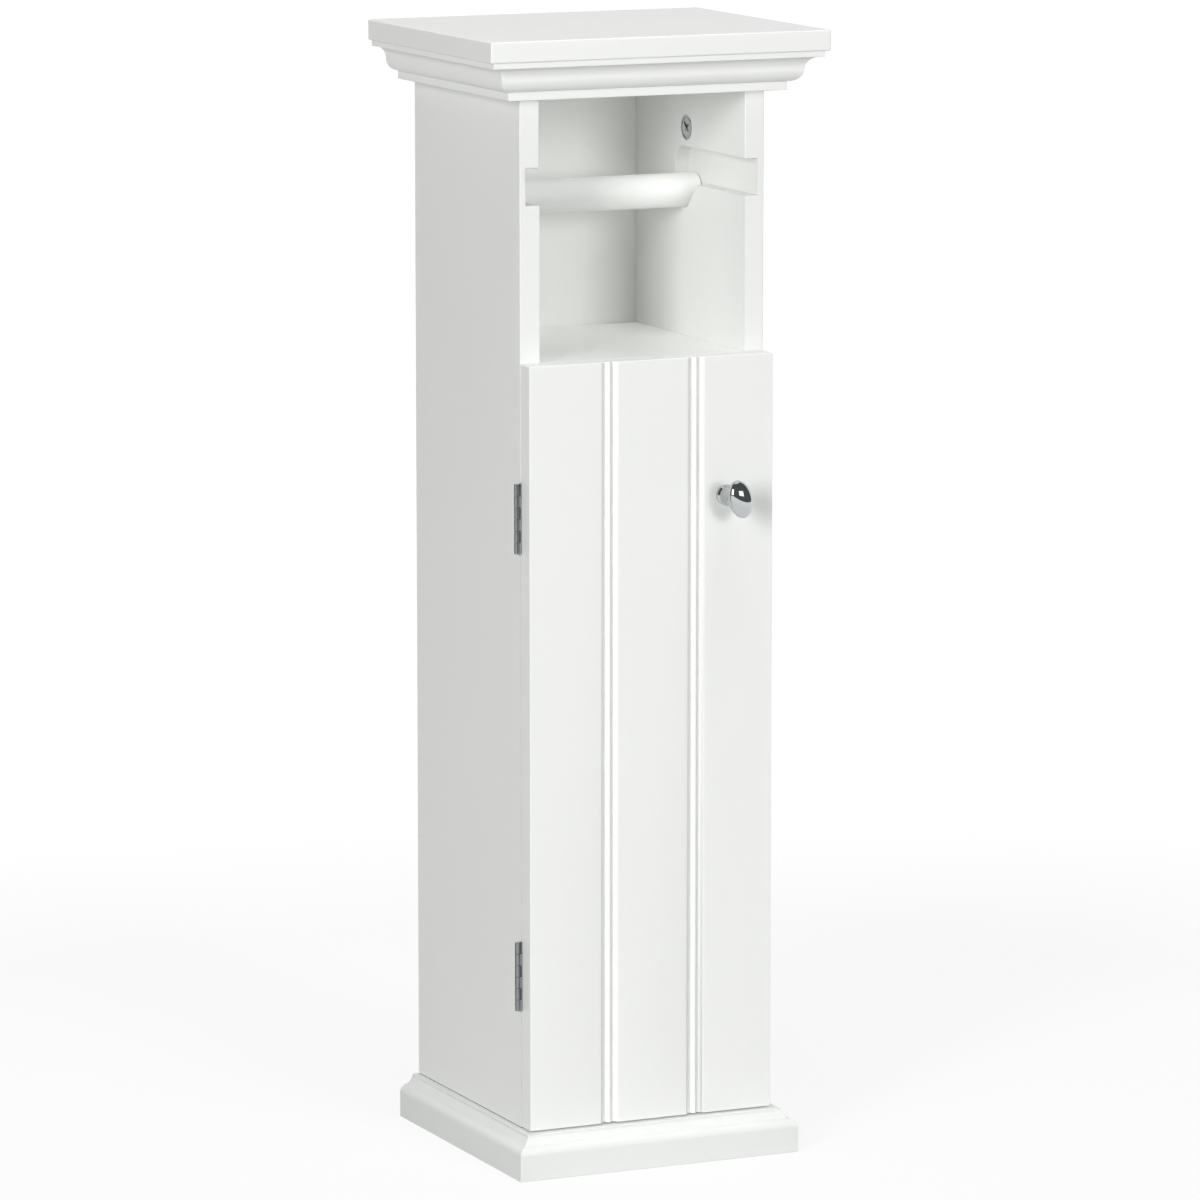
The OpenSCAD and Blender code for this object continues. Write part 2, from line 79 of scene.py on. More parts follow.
# a finished bmesh becomes an object of its own
def asObject(name, bm):
    mesh = bpy.data.meshes.new(name)
    bm.to_mesh(mesh)
    bm.free()
    return addObject(name, mesh)


def linearColour(hexText):
    channels = []
    for i in (1, 3, 5):
        c = int(hexText[i:i + 2], 16) / 255
        channels.append(c / 12.92 if c <= 0.04045 else ((c + 0.055) / 1.055) ** 2.4)
    return (*channels, 1.0)


viewpoint = {
    "place": (-1.6438, -3.5922, 0.9719),
    "target": (-0.00075, 0.00034, 0.31789),
    "lens": 207.96,          # long, so the uprights stay almost parallel
    "sensor": 36.0,
    "reach": 60,
}

cameraData = bpy.data.cameras.new("photoCamera")
cameraData.lens = viewpoint["lens"]
cameraData.sensor_width = viewpoint["sensor"]
cameraData.clip_end = viewpoint["reach"]
camera = addObject("photoCamera", cameraData)
camera.location = viewpoint["place"]
sight = Vector(viewpoint["target"]) - Vector(viewpoint["place"])
camera.rotation_euler = sight.to_track_quat("-Z", "Y").to_euler()
scene.camera = camera
print("camera set")


studio = {
    # turn 0 is straight in front and 90 is on the right; lift is above the floor
    "lamps": {
        "leftWindow": {"turn": -60, "lift": 14, "size": (2.0, 2.0), "watts": 30},
        "leftFill": {"turn": -50, "lift": 15, "size": (1.0, 2.0), "watts": 102, "mirrored": False},
        "frontWindow": {"turn": 14, "lift": 11, "size": (2.3, 1.2), "watts": 15},
        "frontFill": {"turn": 9, "lift": 12, "size": (0.9, 1.2), "watts": 57, "mirrored": False},
        "topBox": {"turn": 0, "lift": 80, "size": (1.8, 1.8), "watts": 62, "mirrored": False},
        "ceilingFill": {"turn": 0, "lift": 75, "size": (1.5, 1.5), "watts": 57,
                        "shadow": False, "mirrored": False},
    },
    "lampsAway": 4.5,
    "skyFill": 0.0,          # the white room's own light on the object
    # painted reflection: the grey that the glowing sheets give to polished metal
    "roomDark": "#5A605C",   # what polished metal sees of the unlit room round the camera
    "room": {"turn": -25, "halfTurn": 112, "lowest": -25, "highest": 66, "away": 6.5, "steps": 14},
    "leftAisle": [(-9, -0.35), (-0.42, -0.05), (-0.42, 0.3), (-9, 8.5)],
    "aisleLift": 0.002,      # the dark patch lies this far above the floor
    "floorColour": "#C6C7C6",
    "floorWorn": 0.97,       # the paint's darkest tone against its lightest
    "floorMottle": 3.0,      # patches of paint per metre
    "floorGlow": 0.84,       # share of the floor that the lens sees as plain white
    "whiteLevel": 1.04,
    "whiteFrom": 1.2,        # past this many metres the floor is plain white, with no shadow
    "floorTurn": 25,
    "floorFront": 1.9,       # the white floor ends a little in front of the cabinet
    "floorSpan": 9.0,
    "aimHeight": 0.3,        # the lamps look at the cabinet's axis at this height
}


# a place round the cabinet from its turn, lift and distance
def roundAbout(turn, lift, away):
    t, e = math.radians(turn), math.radians(lift)
    return Vector((away * math.cos(e) * math.sin(t), -away * math.cos(e) * math.cos(t),
                   studio["aimHeight"] + away * math.sin(e)))


def addLamp(name, turn, lift, size, watts, shadow=True, mirrored=True):
    data = bpy.data.lights.new(name, "AREA")
    data.shape = "RECTANGLE"
    data.size, data.size_y = size
    data.energy = watts
    data.use_shadow = shadow
    lamp = addObject(name, data)
    lamp.location = roundAbout(turn, lift, studio["lampsAway"])
    aim = Vector((0, 0, studio["aimHeight"])) - lamp.location
    lamp.rotation_euler = aim.to_track_quat("-Z", "Y").to_euler()
    lamp.visible_glossy = mirrored


for lampName, lampValues in studio["lamps"].items():
    addLamp(lampName, **lampValues)


# 1 where the lens, or metal or glass, looks straight at a surface, and 0 for light that spreads
def seenDirectly(tree):
    path = addNode(tree, "ShaderNodeLightPath")
    some = addNode(tree, "ShaderNodeMath", {
        0: path.outputs["Is Camera Ray"], 1: path.outputs["Is Glossy Ray"]}, operation="MAXIMUM")
    return addNode(tree, "ShaderNodeMath", {
        0: some, 1: path.outputs["Is Transmission Ray"]}, operation="MAXIMUM")


world = bpy.data.worlds.new("whiteRoom")
scene.world = world
world.use_nodes = True
sky = world.node_tree
sky.nodes.clear()
white = (1, 1, 1, 1)
spread = addNode(sky, "ShaderNodeBackground", {"Color": white, "Strength": studio["skyFill"]})
plain = addNode(sky, "ShaderNodeBackground", {"Color": white, "Strength": 1.0})
worldMix = addNode(sky, "ShaderNodeMixShader", {0: seenDirectly(sky), 1: spread, 2: plain})
addNode(sky, "ShaderNodeOutputWorld", {"Surface": worldMix})


def startMaterial(name):
    material = bpy.data.materials.new(name)
    material.use_nodes = True
    material.node_tree.nodes.clear()
    return material, material.node_tree


# pale painted floor: the lens sees it lifted to white, and it keeps the cabinet's soft shadow
def makeFloor():
    material, tree = startMaterial("paleFloorPaint")
    place = addNode(tree, "ShaderNodeTexCoord").outputs["Object"]
    mottle = addNode(tree, "ShaderNodeTexNoise", {
        "Vector": place, "Scale": studio["floorMottle"], "Detail": 2.0})
    tone = addNode(tree, "ShaderNodeMapRange", {
        "Value": mottle, "To Min": studio["floorWorn"], "To Max": 1.0})
    colour = addNode(tree, "ShaderNodeMix", {
        "Factor": 1.0, 6: linearColour(studio["floorColour"]), 7: tone}, data_type="RGBA",
        blend_type="MULTIPLY")
    matt = addNode(tree, "ShaderNodeBsdfDiffuse", {"Color": colour.outputs[2], "Roughness": 0.6})
    glow = addNode(tree, "ShaderNodeEmission", {"Color": white, "Strength": studio["whiteLevel"]})
    far = addNode(tree, "ShaderNodeVectorMath", {0: place}, operation="LENGTH")
    lifted = addNode(tree, "ShaderNodeMapRange", {
        "Value": far.outputs["Value"], "From Min": 0.5 * studio["whiteFrom"],
        "From Max": studio["whiteFrom"], "To Min": studio["floorGlow"], "To Max": 1.0})
    seen = seenDirectly(tree)
    share = addNode(tree, "ShaderNodeMath", {0: seen, 1: lifted}, operation="MULTIPLY")
    both = addNode(tree, "ShaderNodeMixShader", {0: share, 1: matt, 2: glow})
    addNode(tree, "ShaderNodeOutputMaterial", {"Surface": both})
    span, front = studio["floorSpan"], studio["floorFront"]
    spin = Matrix.Rotation(math.radians(studio["floorTurn"]), 3, "Z")
    corners = [spin @ Vector(p) for p in ((-span, -front, 0), (span, -front, 0),
                                          (span, span, 0), (-span, span, 0))]
    mesh = bpy.data.meshes.new("floor")
    mesh.from_pydata(corners, [], [(0, 1, 2, 3)])
    mesh.materials.append(material)
    addObject("floor", mesh)


makeFloor()


# painted reflection: glowing dark sheets, seen only in polished metal, stand in for the unlit room
# in front of the white one and for a dark patch on the floor to the left
def makeDarkRoom():
    material, tree = startMaterial("darkRoomCloth")
    glow = addNode(tree, "ShaderNodeEmission", {
        "Color": linearColour(studio["roomDark"]), "Strength": 1.0})
    addNode(tree, "ShaderNodeOutputMaterial", {"Surface": glow})
    bm = bmesh.new()
    room = studio["room"]
    steps = room["steps"]
    turns = [room["turn"] + room["halfTurn"] * (k / steps - 1) for k in range(2 * steps + 1)]
    rows = []
    for i in range(steps + 1):
        lift = room["lowest"] + (room["highest"] - room["lowest"]) * i / steps
        rows.append([bm.verts.new(roundAbout(turn, lift, room["away"])) for turn in turns])
    for low, high in zip(rows, rows[1:]):
        for k in range(len(low) - 1):
            bm.faces.new((low[k], low[k + 1], high[k + 1], high[k]))
    bm.faces.new([bm.verts.new((x, y, studio["aisleLift"])) for x, y in studio["leftAisle"]])
    sheet = asObject("darkRoom", bm)
    sheet.data.materials.append(material)
    for sense in ("camera", "diffuse", "transmission", "volume_scatter", "shadow"):
        setattr(sheet, "visible_" + sense, False)


makeDarkRoom()
print("studio ready:", len(studio["lamps"]), "lamps")


# the faces that never see the spray gun: the carcass's joint with the plinth and the door's foot;
# they are bare board, and their neutral grey is painted shade that makes the joint gaps there read
# dark
bareBoardAndJointShade = [
    {"centre": (0, 19.15, 25.5), "half": (75.7, 74.85, 0.58), "colour": "#86847E"},
    {"centre": (0, -63, 26), "half": (75.8, 5.8, 0.08), "colour": "#86847E"},
]
# painted shade: the floors of the bar slots are greyed for the shade that falls on them under the
# slots' upper edges
slotFloorShade = [
    {"centre": (-68, -19.65, 555), "half": (4.5, 36.85, 0.1), "colour": "#D9DBD8"},
    {"centre": (68, -19.65, 555), "half": (4.5, 36.85, 0.1), "colour": "#D9DBD8"},
]


# 1 inside a flat box given in mm, 0 outside
def insideBox(tree, place, centre, half):
    apart = addNode(tree, "ShaderNodeVectorMath", {
        0: place, 1: [c * mm for c in centre]}, operation="SUBTRACT")
    size = addNode(tree, "ShaderNodeVectorMath", {0: apart}, operation="ABSOLUTE")
    share = addNode(tree, "ShaderNodeVectorMath", {
        0: size, 1: [h * mm for h in half]}, operation="DIVIDE")
    parts = addNode(tree, "ShaderNodeSeparateXYZ", {0: share})
    flat = addNode(tree, "ShaderNodeMath", {
        0: parts.outputs["X"], 1: parts.outputs["Y"]}, operation="MAXIMUM")
    most = addNode(tree, "ShaderNodeMath", {0: flat, 1: parts.outputs["Z"]}, operation="MAXIMUM")
    return addNode(tree, "ShaderNodeMath", {0: most, 1: 1.0}, operation="LESS_THAN")


# a finish: its first noise moves the tint, its last one a shallow relief, and "glossBy" says
# which moves the roughness; patches of another colour fill flat boxes
def makeFinish(name, look):
    material, tree = startMaterial(name)
    place = addNode(tree, "ShaderNodeTexCoord").outputs["Object"]
    fields = []
    for noise in look["noises"]:
        spot = place
        if "stretch" in noise:
            spot = addNode(tree, "ShaderNodeMapping", {
                "Vector": place, "Scale": noise["stretch"]})
        fields.append(addNode(tree, "ShaderNodeTexNoise", {
            "Vector": spot, "Scale": 1 / (noise["size"] * mm), "Detail": noise["detail"],
            "Roughness": noise.get("rough", 0.5), "Distortion": noise.get("distortion", 0.0)}))
    colour = addNode(tree, "ShaderNodeMix", {
        0: fields[0], 6: linearColour(look["colours"][0]), 7: linearColour(look["colours"][1])},
        data_type="RGBA")
    for box in look.get("patches", []):
        colour = addNode(tree, "ShaderNodeMix", {
            0: insideBox(tree, place, box["centre"], box["half"]), 6: colour.outputs[2],
            7: linearColour(box["colour"])}, data_type="RGBA")
    (lowest, highest), (glossiest, dullest) = look.get("span", (0, 1)), look["roughness"]
    sheen = addNode(tree, "ShaderNodeMapRange", {
        "Value": fields[look["glossBy"]], "From Min": lowest, "From Max": highest,
        "To Min": glossiest, "To Max": dullest})
    relief = addNode(tree, "ShaderNodeBump", {
        "Height": fields[-1], "Distance": look["relief"] * mm, "Strength": look["strength"]})
    shader = addNode(tree, "ShaderNodeBsdfPrincipled", {
        "Base Color": colour.outputs[2], "Roughness": sheen, "Normal": relief, **look["shader"]})
    addNode(tree, "ShaderNodeOutputMaterial", {"Surface": shader})
    return material


metal = {"Metallic": 1.0}
noiseSpan = (0.3, 0.7)       # nearly all of a noise lies within it
boardPeel = {"size": 1.8, "detail": 1.5, "rough": 0.4}
# satin acrylic lacquer, sprayed on fibreboard: a soft broad sheen and a faint orange peel
lacquer = {"glossBy": -1, "span": noiseSpan, "strength": 0.6, "shader": {"IOR": 1.47}}
# its patches are painted shade: greyed slot floors, and bare board at the foot greyed so that the
# joint gaps read dark
boardLacquer = makeFinish("satinLacquerOnFibreboard", {
    **lacquer, "colours": ("#F0F1EF", "#EDEEEC"), "noises": [{"size": 90, "detail": 2.0}, boardPeel],
    "roughness": (0.37, 0.43), "relief": 0.02, "patches": slotFloorShade + bareBoardAndJointShade})
# the plinth's lacquer, a shade darker and duller than the carcass's, as the photo shows on both of
# its faces; its patches are the bare board at the foot, greyed as joint shade
plinthLacquer = makeFinish("satinLacquerOnPlinthMoulding", {
    **lacquer, "colours": ("#E8EAE7", "#E5E7E4"), "noises": [{"size": 60, "detail": 2.0}, boardPeel],
    "roughness": (0.39, 0.45), "relief": 0.02, "patches": bareBoardAndJointShade})
# the same lacquer on a turned rod, where the peel lies closer
barLacquer = makeFinish("satinLacquerOnTurnedWood", {
    **lacquer, "colours": ("#EFF0EE", "#ECEDEB"), "noises": [
        {"size": 30, "detail": 2.0}, {"size": 1.1, "detail": 1.5, "rough": 0.4}],
    "roughness": (0.33, 0.39), "relief": 0.015})
# polished metal plate: a clear mirror with a thin haze and hairline wiping marks
plate = {"glossBy": 0, "span": noiseSpan, "relief": 0.0005, "strength": 0.5, "shader": metal}
plateHaze = {"size": 4, "detail": 3.0}
# chrome over nickel: bright and a little blue
chrome = makeFinish("polishedChromePlate", {
    **plate, "colours": ("#C9CCCD", "#C0C4C5"), "roughness": (0.02, 0.07),
    "noises": [plateHaze, {"size": 0.6, "detail": 1.0, "stretch": (1, 1, 6)}]})
# nickel plate: the same mirror, a shade darker
nickel = makeFinish("polishedNickelPlate", {
    **plate, "colours": ("#989C9D", "#909495"), "roughness": (0.03, 0.08),
    "noises": [plateHaze, {"size": 0.5, "detail": 1.0, "stretch": (1, 1, 6)}]})
# bare die-cast zinc: a dull grey skin with a fine cast grain
castZinc = makeFinish("dieCastZinc", {
    "colours": ("#D0D3D4", "#DCDFE0"), "noises": [{"size": 0.35, "detail": 3.0}], "glossBy": 0,
    "roughness": (0.38, 0.55), "relief": 0.02, "strength": 0.7, "shader": metal})
# bright zinc-plated steel: a bluish white metal with soft, uneven gloss
zincSteel = makeFinish("zincPlatedSteel", {
    "colours": ("#C4C7C8", "#D2D1CC"), "noises": [{"size": 1.5, "detail": 3.0}], "glossBy": 0,
    "roughness": (0.22, 0.38), "relief": 0.01, "strength": 0.5, "shader": metal})
# white ABS, injection moulded with a spark-eroded matt grain of about 0.3 mm
mouldedAbs = makeFinish("mouldedWhiteAbs", {
    "colours": ("#ECECE8", "#F1F1EE"), "noises": [{"size": 0.3, "detail": 2.0}], "glossBy": 0,
    "roughness": (0.40, 0.52), "relief": 0.015, "strength": 0.6, "shader": {"IOR": 1.54}})
# pressed and sintered ferrite: near black, dull, slightly speckled
ferrite = makeFinish("sinteredFerrite", {
    "colours": ("#242426", "#3A3A3C"), "noises": [{"size": 0.25, "detail": 4.0}], "glossBy": 0,
    "roughness": (0.5, 0.7), "relief": 0.02, "strength": 0.6, "shader": {"IOR": 2.0}})
# bare beech, pressed into fluted dowels: pinkish straw with short dark flecks
beech = makeFinish("bareBeech", {
    "colours": ("#B98F62", "#DDBB8E"), "noises": [{"size": 0.8, "detail": 3.0, "distortion": 0.4}],
    "glossBy": 0, "roughness": (0.6, 0.75), "relief": 0.05, "strength": 0.6,
    "shader": {"IOR": 1.5}})
finishOf = {
    "white_painted_board": boardLacquer, "white_painted_wood": barLacquer, "bare_wood": beech,
    "zinc": castZinc, "zinc_steel": zincSteel, "chrome": chrome, "nickel": nickel,
    "white_plastic": mouldedAbs, "magnet": ferrite,
}
for nodeName, cadNode in cadNodes.items():
    cadNode.data.materials.clear()
    cadNode.data.materials.append(finishOf[slotOf[nodeName]])
print("materials:", len(finishOf))


# a piece has its CAD node's name, in camel case
def pieceName(node):
    first, *rest = node.split("_")
    return first + "".join(word.capitalize() for word in rest)


cadMerge = 0.001 * mm        # the loose triangles of a CAD node meet within this
ownMerge = 0.0005 * mm


# what the modifiers make becomes a plain mesh
def baked(worker, name):
    bpy.context.view_layer.update()
    graph = bpy.context.evaluated_depsgraph_get()
    mesh = bpy.data.meshes.new_from_object(worker.evaluated_get(graph), depsgraph=graph)
    bpy.data.objects.remove(worker)
    mesh.name = name
    return addObject(name, mesh)


# turns a piece about the world's axes in the order given, in degrees, then moves it by mm
def placed(piece, at=(0, 0, 0), turns=()):
    for axis, angle in turns:
        piece.data.transform(Matrix.Rotation(math.radians(angle), 4, axis))
    piece.data.transform(Matrix.Translation([c * mm for c in at]))
    return piece


# the piece stands for a CAD node, rides where it rides and takes its finish; soft arrises shade
# evenly, wide faces stay flat, and real corners stay crisp
def standFor(piece, node, coat=None, crisp=35):
    mesh = piece.data
    bm = bmesh.new()
    bm.from_mesh(mesh)
    bmesh.ops.remove_doubles(bm, verts=bm.verts, dist=ownMerge)
    bmesh.ops.recalc_face_normals(bm, faces=bm.faces)
    bm.to_mesh(mesh)
    bm.free()
    mesh.shade_smooth()
    mesh.set_sharp_from_angle(angle=math.radians(crisp))
    mesh.materials.clear()
    mesh.materials.append(coat or finishOf[slotOf[node]])
    weighted = piece.modifiers.new("even", "WEIGHTED_NORMAL")
    weighted.keep_sharp = True
    weighted.mode = "FACE_AREA"
    piece = baked(piece, piece.name)
    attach(piece, bodyOf[node])
    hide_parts(node)


# corners are (x, y, radius) in mm; a corner with a radius becomes a small arc
def roundedOutline(corners, steps=4, closed=True):
    points = []
    count = len(corners)
    for i, (x, y, radius) in enumerate(corners):
        here = Vector((x, y))
        if radius <= 0 or (not closed and i in (0, count - 1)):
            points.append(here)
            continue
        before = (Vector(corners[i - 1][:2]) - here).normalized()
        after = (Vector(corners[(i + 1) % count][:2]) - here).normalized()
        half = before.angle(after) / 2
        start = here + before * radius / math.tan(half)
        end = here + after * radius / math.tan(half)
        centre = here + (before + after).normalized() * radius / math.sin(half)
        for k in range(steps + 1):
            spoke = (start - centre).slerp(end - centre, k / steps)
            points.append(centre + spoke * radius)
    return points


# rings of points joined by faces, with both ends closed
def skinned(name, rings):
    bm = bmesh.new()
    made = [[bm.verts.new(p) for p in ring] for ring in rings]
    sides = max(len(ring) for ring in made)
    for low, high in zip(made, made[1:]):
        for k in range(sides):
            corners = (low[k % len(low)], low[(k + 1) % len(low)],
                       high[(k + 1) % len(high)], high[k % len(high)])
            bm.faces.new(list(dict.fromkeys(corners)))
    for end in (made[0], made[-1]):
        if len(end) > 2:
            bm.faces.new(end)
    bmesh.ops.recalc_face_normals(bm, faces=bm.faces)
    return asObject(name, bm)


# outline is (radius, height) in mm; shape(angle, height, radius) may add to the radius
def turned(name, outline, sides=48, shape=None):
    rings = []
    for radius, height in outline:
        if radius < tiny:
            rings.append([(0, 0, height * mm)])
            continue
        ring = []
        for k in range(sides):
            angle = 2 * math.pi * k / sides
            wide = (radius + (shape(angle, height, radius) if shape else 0)) * mm
            ring.append((wide * math.cos(angle), wide * math.sin(angle), height * mm))
        rings.append(ring)
    return skinned(name, rings)


# a flat outline in mm carried up Z through (height, scale) levels
def lofted(name, outline, levels):
    return skinned(name, [[(x * s * mm, y * s * mm, z * mm) for x, y in outline]
                          for z, s in levels])


def cutAway(piece, *cutters):
    for cutter in cutters:
        cut = piece.modifiers.new("cut", "BOOLEAN")
        cut.operation = "DIFFERENCE"
        cut.solver = "EXACT"
        cut.object = cutter
    result = baked(piece, piece.name)
    for cutter in cutters:
        bpy.data.objects.remove(cutter)
    return result


def joined(name, pieces):
    bm = bmesh.new()
    for piece in pieces:
        bm.from_mesh(piece.data)
        bpy.data.objects.remove(piece)
    return asObject(name, bm)


# turns Z to the direction and X as near as possible to the side
def pointed(direction, side=(0, 0, 1)):
    along = Vector(direction).normalized()
    across = Vector(side) - along * along.dot(Vector(side))
    if across.length < tiny:
        across = Vector((1, 0, 0)) - along * along.x
    across.normalize()
    return Matrix((across, along.cross(across), along)).transposed()


# in degrees: edges that turn by more than "corner" are eased, and faces within "flat" are one
easing = {"corner": 40, "flat": 0.3, "rimUnder": 2.6, "steps": 3}


# a copy of a sawn board with its arrises eased; edges shorter than a rim's are those of screw
# holes and dowel bores, which stay sharp; a gap (axis, plane, move) opens a joint a little
def eased(node, radius, also=None, skip=None, gap=None, rimUnder=easing["rimUnder"]):
    bm = bmesh.new()
    bm.from_mesh(cadNodes[node].data)
    bmesh.ops.remove_doubles(bm, verts=bm.verts, dist=cadMerge)
    bmesh.ops.dissolve_limit(bm, angle_limit=math.radians(easing["flat"]), verts=bm.verts,
                             edges=bm.edges)
    if gap:
        axis, plane, move = gap
        for v in bm.verts:
            if abs(v.co[axis] - plane * mm) < tiny * mm:
                v.co[axis] += move * mm
    weight = bm.edges.layers.float.new("bevel_weight_edge")
    for edge in bm.edges:
        if len(edge.link_faces) != 2:
            continue
        if edge.calc_face_angle_signed() < math.radians(easing["corner"]):
            continue
        a, b = [v.co / mm for v in edge.verts]
        chosen = (a - b).length > rimUnder or (also and also(a) and also(b))
        if chosen and not (skip and skip(a) and skip(b)):
            edge[weight] = 1.0
    worker = asObject(pieceName(node), bm)
    bevel = worker.modifiers.new("ease", "BEVEL")
    bevel.limit_method = "WEIGHT"
    bevel.width = radius * mm
    bevel.segments = easing["steps"]
    bevel.use_clamp_overlap = False
    worker = baked(worker, worker.name)
    least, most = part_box(node)
    for v in worker.data.vertices:
        v.co = [min(max(c, a), b) for c, a, b in zip(v.co, least, most)]
    standFor(worker, node)


# butt hinges, whose leaves lie in recesses of the panel and the door
hinge = {
    "x": -78.5, "y": -56.5, "rows": {"upper": 378, "lower": 114},
    "length": 40, "knuckles": 6, "gap": 0.15, "barrelR": 1.5, "boreR": 0.65, "pinR": 0.6,
    "leafT": 0.9, "leafFrom": 1.9, "leafTo": 12.0, "screwX": 7.15, "screwZ": 12,
    "screwR": 1.05, "screwHeadR": 2.15, "corner": 0.8, "ease": 0.12, "strapAngle": 33,
    "blockTo": 2.4, "blockFront": 0.5, "strapPlay": 0.05, "curlOpen": 5, "arcSteps": 24,
    "endShape": [(0, 0.93), (0.5, 0.98), (1, 1.0)],     # share of the easing, and the scale there
    "leafEase": 0.1, "sinkPlay": 0.02, "holeTo": 3, "pinEase": 0.3,
    "recessTo": -60, "panelDeep": -54.5, "doorDeep": -58.2, "recessPlay": 0.2,
}
sidePanels = {
    "ease": 0.6,
    "inside": 75.5,                  # what lies nearer to the middle than this isn't the outer face
    "pocket": {"y": 26.5, "z": 558, "reachY": 11.5, "reachZ": 20},
    "slotFloor": 555,
    "slotEdge": 0.3,
    "footGap": (2, 25, 0.5),
    "footUnder": 26.5,
}


# the round ends of the bar's slot are made of short edges, and are eased all the same
def nearBarSlot(p):
    pocket = sidePanels["pocket"]
    return (abs(p.y - pocket["y"]) < pocket["reachY"] and abs(p.x) < sidePanels["inside"]
            and abs(p.z - pocket["z"]) < pocket["reachZ"])


def besideHinge(p):
    reach = hinge["length"] / 2 + hinge["recessPlay"]
    return p.x < hinge["recessTo"] and min(abs(p.z - z) for z in hinge["rows"].values()) < reach


# the sawn foot of a panel or a door keeps its sharp edge, and so a crisp joint line
def atFoot(p):
    return p.z < sidePanels["footUnder"]


# so do the hinge recess and the lower edge of the bar slot's level run
def sharpOnPanel(p):
    return (atFoot(p) or (besideHinge(p) and p.y < hinge["panelDeep"])
            or abs(p.z - sidePanels["slotFloor"]) < sidePanels["slotEdge"])


def sharpOnDoor(p):
    return atFoot(p) or (besideHinge(p) and p.y > hinge["doorDeep"])


for side in ("left", "right"):
    eased("side_panel_" + side, sidePanels["ease"], nearBarSlot, sharpOnPanel,
          sidePanels["footGap"])
boards = {
    "middle_shelf": {"radius": 0.5},
    "bottom_board": {"radius": 0.5},
    "back_panel": {"radius": 0.3, "gap": (1, 91, 0.45)},
    "crown_board": {"radius": 0.5},
    "top_board": {"radius": 0.9},
    "plinth_rear": {"radius": 0.6},
    "door_panel": {"radius": 0.6, "skip": sharpOnDoor},
}
for nodeName, board in boards.items():
    eased(nodeName, **board)
print("boards eased")


crown = {
    "halfInner": 86.5,       # the crown board's half width
    "innerFront": -64.5,     # its front face
    "rear": 94,
    "low": 620,
    "radius": 7.25,          # of the round and of the hollow
    "out": 16,
    "height": 18,
    "ease": 0.35,
    "arcSteps": 14,
}


# closed outline (out, up) in mm: a round below, a hollow above, a small fillet on top
def crownSection():
    r = crown["radius"]
    points = [Vector((0, 0))]
    for k in range(1, crown["arcSteps"] + 1):
        a = math.pi / 2 * k / crown["arcSteps"]
        points.append(Vector((r * math.sin(a), r - r * math.cos(a))))
    for k in range(1, crown["arcSteps"]):
        a = math.pi / 2 * k / crown["arcSteps"]
        points.append(Vector((2 * r - r * math.cos(a), r + r * math.sin(a))))
    corners = [(2 * r, 2 * r, 0), (crown["out"], 2 * r, crown["ease"]),
               (crown["out"], crown["height"], crown["ease"]), (0, crown["height"], 0)]
    return points + roundedOutline(corners)


# a new tree with its named inputs, and what its input node gives
def startTree(name, inputs, result):
    tree = bpy.data.node_groups.new(name, "GeometryNodeTree")
    for label, kind in inputs.items():
        tree.interface.new_socket(label, in_out="INPUT", socket_type="NodeSocket" + kind)
    tree.interface.new_socket(result, in_out="OUTPUT", socket_type="NodeSocketGeometry")
    return tree, addNode(tree, "NodeGroupInput").outputs


def closeTree(tree, geometry, finish):
    real = addNode(tree, "GeometryNodeRealizeInstances", {0: geometry})
    coated = addNode(tree, "GeometryNodeSetMaterial", {"Geometry": real, "Material": finish})
    addNode(tree, "NodeGroupOutput", {0: coated})
    return tree


# a section grown along X, each end cut at its own slant, then turned and put in place
def mouldingTree():
    tree, given = startTree("mitredLength", {
        "Section": "Geometry", "From": "Float", "To": "Float", "From Mitre": "Float",
        "To Mitre": "Float", "Turn": "Float", "Place": "Vector", "Finish": "Material"}, "Moulding")
    run = addNode(tree, "ShaderNodeCombineXYZ", {"X": 1.0})
    grown = addNode(tree, "GeometryNodeExtrudeMesh", {
        "Mesh": given["Section"], "Offset": run, "Offset Scale": 1.0, "Individual": False})
    start = addNode(tree, "GeometryNodeFlipFaces", {"Mesh": given["Section"]})
    shell = addNode(tree, "GeometryNodeJoinGeometry")
    tree.links.new(grown.outputs["Mesh"], shell.inputs[0])
    tree.links.new(start.outputs[0], shell.inputs[0])
    whole = addNode(tree, "GeometryNodeMergeByDistance", {
        "Geometry": shell, "Distance": ownMerge})
    here = addNode(tree, "GeometryNodeInputPosition")
    parts = addNode(tree, "ShaderNodeSeparateXYZ", {0: here})
    near = addNode(tree, "ShaderNodeMath", {
        0: parts.outputs["Y"], 1: given["From Mitre"]}, operation="MULTIPLY")
    nearEnd = addNode(tree, "ShaderNodeMath", {0: given["From"], 1: near}, operation="SUBTRACT")
    far = addNode(tree, "ShaderNodeMath", {
        0: parts.outputs["Y"], 1: given["To Mitre"], 2: given["To"]}, operation="MULTIPLY_ADD")
    along = addNode(tree, "ShaderNodeMix", {
        "Factor": parts.outputs["X"], 2: nearEnd, 3: far}, data_type="FLOAT")
    put = addNode(tree, "ShaderNodeCombineXYZ", {
        "X": along, "Y": parts.outputs["Y"], "Z": parts.outputs["Z"]})
    stretched = addNode(tree, "GeometryNodeSetPosition", {"Geometry": whole, "Position": put})
    spin = addNode(tree, "ShaderNodeCombineXYZ", {"Z": given["Turn"]})
    moved = addNode(tree, "GeometryNodeTransform", {
        "Geometry": stretched, "Translation": given["Place"], "Rotation": spin})
    return closeTree(tree, moved, given["Finish"])


# a modifier's inputs are set by the socket's identifier
def useTree(worker, tree, **inputs):
    modifier = worker.modifiers.new(tree.name, "NODES")
    modifier.node_group = tree
    wanted = {key.lower(): value for key, value in inputs.items()}
    for item in tree.interface.items_tree:
        key = item.name.replace(" ", "").lower()
        if item.item_type == "SOCKET" and item.in_out == "INPUT" and key in wanted:
            modifier[item.identifier] = wanted[key]


